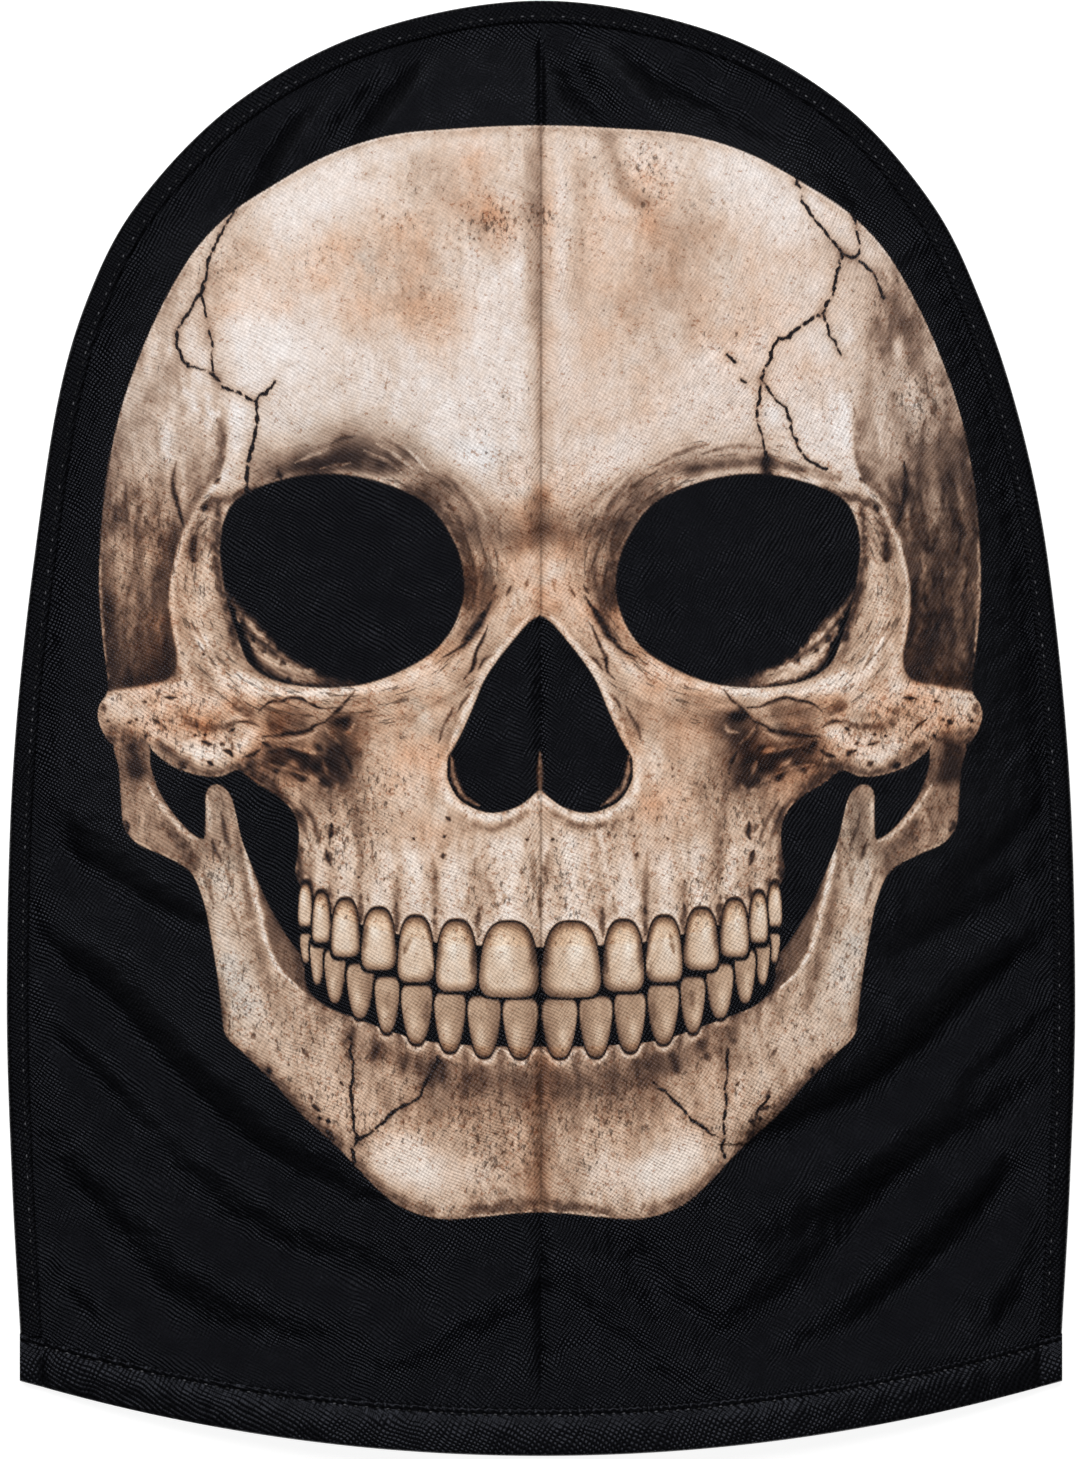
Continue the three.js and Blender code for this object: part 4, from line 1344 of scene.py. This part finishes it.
def printed_finish(sizes, colors):
    """The printed cloth: the painted colours, with fine marks where it is bone, a painted shade along the
    middle seam, and the knit with its painted shade and sheen.
    """
    finish = Finish("printed cloth", Roughness=GLOSS, Specular_IOR_Level=SHEEN, Specular_Tint=SHEEN_TINT)
    color = finish.painted("print", "Color")
    bone = finish.painted("bone", "Fac")
    worn = finish.painted("worn", "Fac")
    fleck = [*colors.fleck, 1]
    dashes, streak = bone_dashes(finish, worn)
    speck = finish.noise(finish.place(1, 1, 1), SPECK_SIZE, detail=3.0, roughness=0.65)
    specks = finish.range(speck - (SPECK_CUT - worn * SPECK_WEAR), 0.0, MARK_EDGE)
    contrast = CLEAN_CONTRAST + worn * WORN_CONTRAST
    lit = 1 + (0.5 - finish.range(streak, 0.25, 0.75)) * contrast * bone
    lit = lit + (0.5 - speck) * SPECK_CONTRAST * bone
    color = finish.blend("MULTIPLY", 1.0, color, lit)
    color = finish.blend("MULTIPLY", specks * bone * SPECK_SHARE, color, [*colors.stain, 1])
    color = finish.blend("MIX", dashes * bone * DASH_SHARE, color, fleck)
    color = finish.blend("MIX", fissures(finish, worn) * bone * worn * FISSURE_SHARE, color, fleck)
    # painted shade in the middle seam's groove, on the bone only
    seam = finish.range(abs(finish.part(finish.place(1, 1, 1), 0)), *SEAM_SHADE_LINE)
    color = finish.blend("MIX", seam * bone * SEAM_SHADE_SHARE, color, fleck)
    loops = knit(finish, mm(sizes.knit))
    # the knit's painted shade in its furrows and painted sheen on its loops, stronger in black cloth than on
    # the bone
    black_knit_shade_and_sheen = finish.range(loops, 0, 1, *BLACK_KNIT_SHADE_AND_SHEEN)
    bone_knit_shade_and_sheen = finish.range(loops, 0, 1, *BONE_KNIT_SHADE_AND_SHEEN)
    knit_shade_and_sheen = black_knit_shade_and_sheen * (1 - bone) + bone_knit_shade_and_sheen * bone
    finish.feed("Base Color", finish.blend("MULTIPLY", 1.0, color, knit_shade_and_sheen))
    finish.bump(loops + crinkle(finish), CLOTH_BUMP)
    return finish.material


def plain_finish(sizes, colors):
    return cloth_finish("plain cloth", colors.cloth, mm(sizes.knit), CLOTH_BUMP, SHEEN)


def hem_finish(sizes, colors):
    return cloth_finish("hem cloth", colors.tape, 1.3 * mm(sizes.knit), HEM_BUMP, 0.75 * SHEEN)


def tape_finish(sizes, colors):
    return cloth_finish("binding tape", colors.tape, mm(sizes.knit), TAPE_BUMP, 0.3 * SHEEN)


def thread_finish(colors):
    """Thread with painted shade and sheen, darker and lighter by a noise along it."""
    finish = Finish("thread", Roughness=0.6, Specular_IOR_Level=0.3)
    twist = finish.range(finish.noise(finish.place(1, 1, 1), TWIST_SIZE), *TWIST_RANGE)
    dark, light = (shaded(colors.thread, share) for share in THREAD_SHADE_AND_SHEEN)
    finish.feed("Base Color", finish.blend("MIX", twist, dark, light))
    return finish.material


# Making and shaping meshes

def add_grid(name, columns, rows):
    bpy.ops.object.select_all(action="DESELECT")
    bpy.ops.mesh.primitive_grid_add(x_subdivisions=columns, y_subdivisions=rows, size=1)
    piece = bpy.context.object
    piece.name = piece.data.name = name
    return piece


def read_all(items, name, kind=float, width=1):
    """One value, or a row of values, of each of a mesh's items."""
    values = np.empty(len(items) * width, dtype=kind)
    items.foreach_get(name, values)
    return values.reshape(-1, width) if width > 1 else values


def points_of(mesh):
    return read_all(mesh.vertices, "co", width=3)


def move_points(mesh, points):
    mesh.vertices.foreach_set("co", np.asarray(points, dtype=np.float32).ravel())
    mesh.update()


def in_edit_mode(*steps, edges=False):
    """Runs edit mode operators on selected faces or edges, each a name with its settings."""
    bpy.ops.object.mode_set(mode="EDIT")
    bpy.context.tool_settings.mesh_select_mode = (False, edges, not edges)
    for name, settings in steps:
        getattr(bpy.ops.mesh, name)(**settings)
    bpy.ops.object.mode_set(mode="OBJECT")


def select_faces(mesh, chosen):
    in_edit_mode(("select_all", {"action": "DESELECT"}))
    mesh.polygons.foreach_set("select", chosen)


def select_all_faces(mesh):
    select_faces(mesh, np.ones(len(mesh.polygons), dtype=bool))


def apply_modifier(piece, kind, **settings):
    modifier = piece.modifiers.new(kind, kind)
    for setting, value in settings.items():
        setattr(modifier, setting, value)
    bpy.ops.object.modifier_apply(modifier=modifier.name)


def finish_piece(piece, material, node):
    """Gives a piece its material and smooth faces, hangs it from the body, and hides the solid that it stands
    for, if any.
    """
    piece.data.materials.clear()
    piece.data.materials.append(material)
    bpy.ops.object.shade_smooth_by_angle(angle=np.radians(SMOOTH_ANGLE))
    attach(piece, BODY)
    if node:
        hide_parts(node)
    return piece


# Pieces

# Faces of a front half before its top is split
COLUMNS, ROWS = 36, 92
# Thickness of the plates from which the panels are shaped, and the distance at which points are one
PLATE, SAME_PLACE = 0.1, 1e-6
# Most faces split at each level of the print, and the least change of colour for which a face is split
MOST_SPLIT = (7500, 10500, 5900)
LEAST_CHANGE = 0.004
# Widest angle in degrees that is shaded smooth
SMOOTH_ANGLE = 50
# Steps along the tape and the hems
RIM_STEPS, HEM_STEPS = 420, 150
# The slit in a hem for the panel's edge
SLIT = 0.2
# Where the stitches run: share of the tape's width, and distance from the hem's upper edge
RIM_SEAM, HEM_SEAM = 0.74, 1.7
# Width and height of a stitch, and how deep its middle lies in the tape and in the hem
THREAD = (0.42, 0.36)
RIM_SINK, HEM_SINK = 0.18, 0.26
# Stitches left out at each end of the tape, and the length without them at each end of the hem
RIM_END, HEM_END = 2, 4
# Depth and half-width of the dent in the front hem where the tape's edge meets it
DENT, DENT_WIDTH = 0.5, 0.7


def front_plan(sizes, points, side):
    return half_plan(sizes, side, points[:, 0] + 0.5, points[:, 1] + 0.5, 1 / COLUMNS)


def print_place(x, y):
    """Print steps of a place on the front."""
    return FRAME_MIDDLE[0] + x / STEP, FRAME_MIDDLE[1] - y / STEP


def refine_print(piece, sizes, side, level, most):
    """Splits the smallest faces of the top where the print changes most, so that its edges are sharp."""
    mesh = piece.data
    points = points_of(mesh)
    starts = read_all(mesh.polygons, "loop_start", int)
    corners = read_all(mesh.loops, "vertex_index", int)
    areas = read_all(mesh.polygons, "area")
    on_top = np.minimum.reduceat(points[corners, 2], starts) > -PLATE / 2
    smallest = np.abs(areas * COLUMNS * ROWS * 4 ** level - 1) < 0.1
    able = np.flatnonzero(on_top & smallest)
    centres = read_all(mesh.polygons, "center", width=3)
    both = np.concatenate([points, centres[able]])
    color = paint(*print_place(*front_plan(sizes, both, side)))[0].mean(axis=1)
    change = np.maximum.reduceat(color[corners], starts) - np.minimum.reduceat(color[corners], starts)
    change[able] += np.abs(color[len(points):] - color[corners][starts[able]])
    ranked = able[np.argsort(-change[able], kind="stable")][:most]
    chosen = np.zeros(len(mesh.polygons), dtype=bool)
    chosen[ranked[change[ranked] > LEAST_CHANGE]] = True
    select_faces(mesh, chosen)
    in_edit_mode(("subdivide", {"number_cuts": 1}))


def linear(color):
    """Linear light of a screen colour from 0 to 255."""
    share = np.clip(color / 255, 0, 1)
    return np.where(share < 0.04045, share / 12.92, ((share + 0.055) / 1.055) ** 2.4)


def keep_print(mesh, color, bone, worn):
    """Keeps the print as attributes of the mesh's points."""
    printed = mesh.color_attributes.new("print", "FLOAT_COLOR", "POINT")
    rgba = np.concatenate([INK * linear(color), np.ones((len(color), 1))], axis=1)
    printed.data.foreach_set("color", rgba.astype(np.float32).ravel())
    for name, value in (("bone", bone), ("worn", worn)):
        attribute = mesh.attributes.new(name, "FLOAT", "POINT")
        attribute.data.foreach_set("value", value.astype(np.float32))


class HOOD_OT_fronts(bpy.types.Operator):
    """Makes the two printed halves of the front, finest where the print has edges"""

    bl_idname = "hood.fronts"
    bl_label = "Printed front halves"

    def execute(self, context):
        sizes, colors = context.scene.hood_sizes, context.scene.hood_colors
        material = printed_finish(sizes, colors)
        for side, node in ((-1, "front_left"), (1, "front_right")):
            piece = add_grid(f"printed_{node}", COLUMNS, ROWS)
            apply_modifier(piece, "SOLIDIFY", thickness=PLATE, offset=-1)
            mesh = piece.data
            select_faces(mesh, np.array([face.normal.z > 0.5 for face in mesh.polygons]))
            in_edit_mode(("subdivide", {"number_cuts": 1}))
            for level, most in enumerate(MOST_SPLIT, start=1):
                refine_print(piece, sizes, side, level, most)
            points = points_of(mesh)
            x, y = front_plan(sizes, points, side)
            under = points[:, 2] < -PLATE / 2
            z = front_top(sizes, x, y) - np.where(under, mm(sizes.cloth), 0)
            move_points(mesh, np.stack([x, y, z], axis=1) * MM)
            color, bone, worn = paint(*print_place(x, y))
            color[under] = BLACK
            bone[under] = 0
            keep_print(mesh, color, bone, worn)
            if side < 0:
                select_all_faces(mesh)
                in_edit_mode(("flip_normals", {}))
            finish_piece(piece, material, node)
        return {"FINISHED"}


class HOOD_OT_back(bpy.types.Operator):
    """Makes the plain back, flat on the table and lifting at its rim to enter the tape"""

    bl_idname = "hood.back"
    bl_label = "Plain back"

    def execute(self, context):
        sizes, colors = context.scene.hood_sizes, context.scene.hood_colors
        piece = add_grid("plain_back", 2 * COLUMNS, ROWS)
        apply_modifier(piece, "SOLIDIFY", thickness=PLATE, offset=-1)
        points = points_of(piece.data)
        across = np.abs(points[:, 0]) * 2
        along = points[:, 1] + 0.5
        left, right = (half_plan(sizes, side, across, along, 1 / COLUMNS) for side in (-1, 1))
        x, y = (np.where(points[:, 0] < 0, a, b) for a, b in zip(left, right))
        lift = layers(sizes)[0] * (1 - soft_step(rim_distance(x, y), mm(sizes.tape_width), BACK_MARGIN))
        z = lift + np.where(points[:, 2] < -PLATE / 2, 0, mm(sizes.cloth))
        move_points(piece.data, np.stack([x, y, z], axis=1) * MM)
        select_all_faces(piece.data)
        in_edit_mode(("remove_doubles", {"threshold": SAME_PLACE}))
        finish_piece(piece, plain_finish(sizes, colors), "back_panel")
        return {"FINISHED"}


def swept(name, section, place, steps):
    """A closed band: a ring of section points carried along a path and closed at both ends."""
    count = len(section)
    piece = add_grid(name, count, steps)
    points = points_of(piece.data)
    ring = np.round((points[:, 0] + 0.5) * count).astype(int) % count
    along = points[:, 1] + 0.5
    across, height = np.array(section)[ring].T
    move_points(piece.data, place(along, across, height) * MM)
    select_all_faces(piece.data)
    face_outwards = [("select_all", {"action": "SELECT"}), ("normals_make_consistent", {"inside": False})]
    in_edit_mode(("remove_doubles", {"threshold": SAME_PLACE}), *face_outwards)
    close_ends = [("select_all", {"action": "DESELECT"}), ("select_non_manifold", {}), ("edge_face_add", {})]
    in_edit_mode(*close_ends, *face_outwards, edges=True)
    return piece


class HOOD_OT_binding(bpy.types.Operator):
    """Folds the tape over the edges of front and back, round the rim"""

    bl_idname = "hood.binding"
    bl_label = "Rim binding"

    def execute(self, context):
        sizes, colors = context.scene.hood_sizes, context.scene.hood_colors
        wide = mm(sizes.tape_width)
        wall = mm(sizes.tape_wall)
        high = layers(sizes)[3]
        turn = np.linspace(-np.pi / 2, np.pi / 2, 9)
        outer = [(high / 2 * (1 - np.cos(a) ** 0.6) * 0.5, high / 2 + high / 2 * np.sin(a)) for a in turn]
        section = [(wide, 0.15), (wide * 0.75, 0)] + outer + [
            (wide * 0.45, high + 0.05), (wide * RIM_SEAM, high - 0.22), (wide * 0.9, high),
            (wide, high - 0.3), (wide, high - wall), (wall, high - wall), (wall, wall), (wide, wall)]

        def place(along, across, height):
            way = mix(GAP, RIM_LENGTH - GAP, along) / RIM_LENGTH
            x, y = rim_inset(way, across)
            return np.stack([x, y, height], axis=1)

        piece = swept("bound_rim", section, place, RIM_STEPS)
        finish_piece(piece, tape_finish(sizes, colors), "rim_binding")
        return {"FINISHED"}


def front_hem_top(sizes, x):
    """Height of the front hem's outer face, which stands above the tape as the front does."""
    _, _, top, tape_top = layers(sizes)
    return front_top(sizes, x, mouth_edge(x) + mm(sizes.hem_depth)) + tape_top + GAP - top


class HOOD_OT_hems(bpy.types.Operator):
    """Turns the hem of the open mouth, front and back"""

    bl_idname = "hood.hems"
    bl_label = "Mouth hems"

    def execute(self, context):
        sizes, colors = context.scene.hood_sizes, context.scene.hood_colors
        deep = mm(sizes.hem_depth)
        wall = mm(sizes.hem_wall)
        material = hem_finish(sizes, colors)
        upper = wall / 2 + SLIT / 2
        lower = wall / 2 - SLIT / 2
        section = [
            (deep, upper), (0.9, upper), (0.9, lower), (deep, lower), (deep, 0.2), (deep - 0.3, 0),
            (deep * 0.5, 0), (1.2, 0), (0.3, 0.25), (0, 0.8), (0, wall - 0.8), (0.3, wall - 0.2), (1.2, wall),
            (deep * 0.5, wall), (deep - 2.6, wall - 0.05), (deep - HEM_SEAM, wall - 0.55),
            (deep - 0.9, wall - 0.05), (deep - 0.2, wall - 0.2), (deep, wall - 0.5)]

        def plan(along):
            t = 2 * along - 1
            x = CORNER_HALF * (1.5 * t - 0.5 * t ** 3)
            return x, mouth_edge(x)

        def place_front(along, across, height):
            x, y = plan(along)
            dent = DENT * np.exp(-((np.abs(x) - CORNER_HALF + mm(sizes.tape_width)) / DENT_WIDTH) ** 2)
            lift = front_hem_top(sizes, x) - wall - dent * (height > wall / 2 + SLIT)
            return np.stack([x, y + across, height + lift], axis=1)

        def place_back(along, across, height):
            x, y = plan(along)
            return np.stack([x, y + across, height], axis=1)

        hems = (("front_hem", "hem_front", place_front), ("back_hem", "hem_back", place_back))
        for name, node, place in hems:
            piece = swept(name, section, place, HEM_STEPS)
            finish_piece(piece, material, node)
        return {"FINISHED"}


def stitch_row(name, long, places):
    """A row of stitches: one rounded thread arrayed, then laid at each place along its direction."""
    bpy.ops.object.select_all(action="DESELECT")
    bpy.ops.mesh.primitive_uv_sphere_add(segments=8, ring_count=6, radius=0.5)
    piece = bpy.context.object
    piece.name = piece.data.name = name
    each = len(piece.data.vertices)
    apply_modifier(piece, "ARRAY", count=len(places), relative_offset_displace=(2, 0, 0))
    one = points_of(piece.data)[:each] * (long, *THREAD)
    points = []
    for place, ahead in places:
        side = (-ahead[1], ahead[0], 0)
        points.append(one[:, :1] * (*ahead, 0) + one[:, 1:2] * side + one[:, 2:] * (0, 0, 1) + place)
    move_points(piece.data, np.concatenate(points) * MM)
    return piece


def heading(x, y):
    """The direction from the first to the second of two places."""
    ahead = np.array([x[1] - x[0], y[1] - y[0]])
    return ahead / np.hypot(*ahead)


class HOOD_OT_stitches(bpy.types.Operator):
    """Sews rows of stitches along the tape and the front hem"""

    bl_idname = "hood.stitches"
    bl_label = "Stitches"

    def execute(self, context):
        sizes, colors = context.scene.hood_sizes, context.scene.hood_colors
        long = mm(sizes.stitch)
        pitch = mm(sizes.stitch_pitch)
        tape_top = layers(sizes)[3]
        count = int(RIM_LENGTH / pitch)
        rim = []
        for way in np.arange(RIM_END, count - RIM_END) / count:
            x, y = rim_inset(np.array([way, way + 0.2 / count]), mm(sizes.tape_width) * RIM_SEAM)
            rim.append(((x[0], y[0], tape_top - RIM_SINK), heading(x, y)))
        hem = []
        for place in np.arange(-CORNER_HALF + HEM_END, CORNER_HALF - HEM_END, pitch):
            x = np.array([place, place + 0.2])
            y = mouth_edge(x) + mm(sizes.hem_depth) - HEM_SEAM
            hem.append(((x[0], y[0], front_hem_top(sizes, x)[0] - HEM_SINK), heading(x, y)))
        material = thread_finish(colors)
        for name, row, slot in (("rim_stitches", rim, "binding_tape"), ("hem_stitches", hem, "plain_cloth")):
            finish_piece(stitch_row(name, long, row), material, None)
        return {"FINISHED"}


class HOOD_OT_stage(bpy.types.Operator):
    """Adds the table, the lights and a camera that looks straight down"""

    bl_idname = "hood.stage"
    bl_label = "Table, lights and camera"

    def execute(self, context):
        scene = context.scene
        bpy.ops.object.select_all(action="DESELECT")
        bpy.ops.mesh.primitive_plane_add(size=TABLE_WIDTH)
        table = context.object
        table.name = "table"
        finish = Finish(
            "table", Roughness=0.9, Specular_IOR_Level=0.1, Base_Color=[*scene.hood_colors.table, 1],
            Emission_Color=WHITE, Emission_Strength=TABLE_GLOW)
        table.data.materials.append(finish.material)
        world = bpy.data.worlds.new("soft daylight")
        world.use_nodes = True
        world.node_tree.nodes["Background"].inputs["Color"].default_value = WHITE
        world.node_tree.nodes["Background"].inputs["Strength"].default_value = DAYLIGHT
        scene.world = world
        for name, place, size, power in LIGHTS:
            bpy.ops.object.light_add(type="AREA", location=place)
            light = context.object
            light.name = name
            light.data.shape = "DISK"
            light.data.size = size
            light.data.energy = power
            light.rotation_euler = (-Vector(place)).to_track_quat("-Z", "Y").to_euler()
        bpy.ops.object.camera_add(location=[c * MM for c in (*VIEW_MIDDLE, VIEW_HEIGHT)])
        camera = context.object
        camera.data.sensor_fit = "VERTICAL"
        camera.data.sensor_height = SENSOR
        camera.data.lens = SENSOR * (VIEW_HEIGHT - RIM_HEIGHT) / VIEW_TALL
        scene.camera = camera
        scene.view_settings.view_transform = "Standard"
        return {"FINISHED"}


OPERATORS = (HOOD_OT_fronts, HOOD_OT_back, HOOD_OT_binding, HOOD_OT_hems, HOOD_OT_stitches, HOOD_OT_stage)


class HOOD_PT_panel(bpy.types.Panel):
    """Lists the hood's pieces, sizes and colours"""

    bl_label = "Hood mask"
    bl_idname = "HOOD_PT_panel"
    bl_space_type = "VIEW_3D"
    bl_region_type = "UI"
    bl_category = "Hood mask"

    def draw(self, context):
        for group in (context.scene.hood_sizes, context.scene.hood_colors):
            for name in group.__annotations__:
                self.layout.prop(group, name)
        for operator in OPERATORS:
            self.layout.operator(operator.bl_idname)


CLASSES = (HoodSizes, HoodColors, *OPERATORS, HOOD_PT_panel)


def register():
    for item in CLASSES:
        bpy.utils.register_class(item)
    bpy.types.Scene.hood_sizes = PointerProperty(type=HoodSizes)
    bpy.types.Scene.hood_colors = PointerProperty(type=HoodColors)


def unregister():
    del bpy.types.Scene.hood_sizes
    del bpy.types.Scene.hood_colors
    for item in reversed(CLASSES):
        bpy.utils.unregister_class(item)


def main():
    register()
    bpy.ops.hood.fronts()
    bpy.ops.hood.back()
    bpy.ops.hood.binding()
    bpy.ops.hood.hems()
    bpy.ops.hood.stitches()
    bpy.ops.hood.stage()
    bpy.context.view_layer.update()


if __name__ == "__main__":
    main()
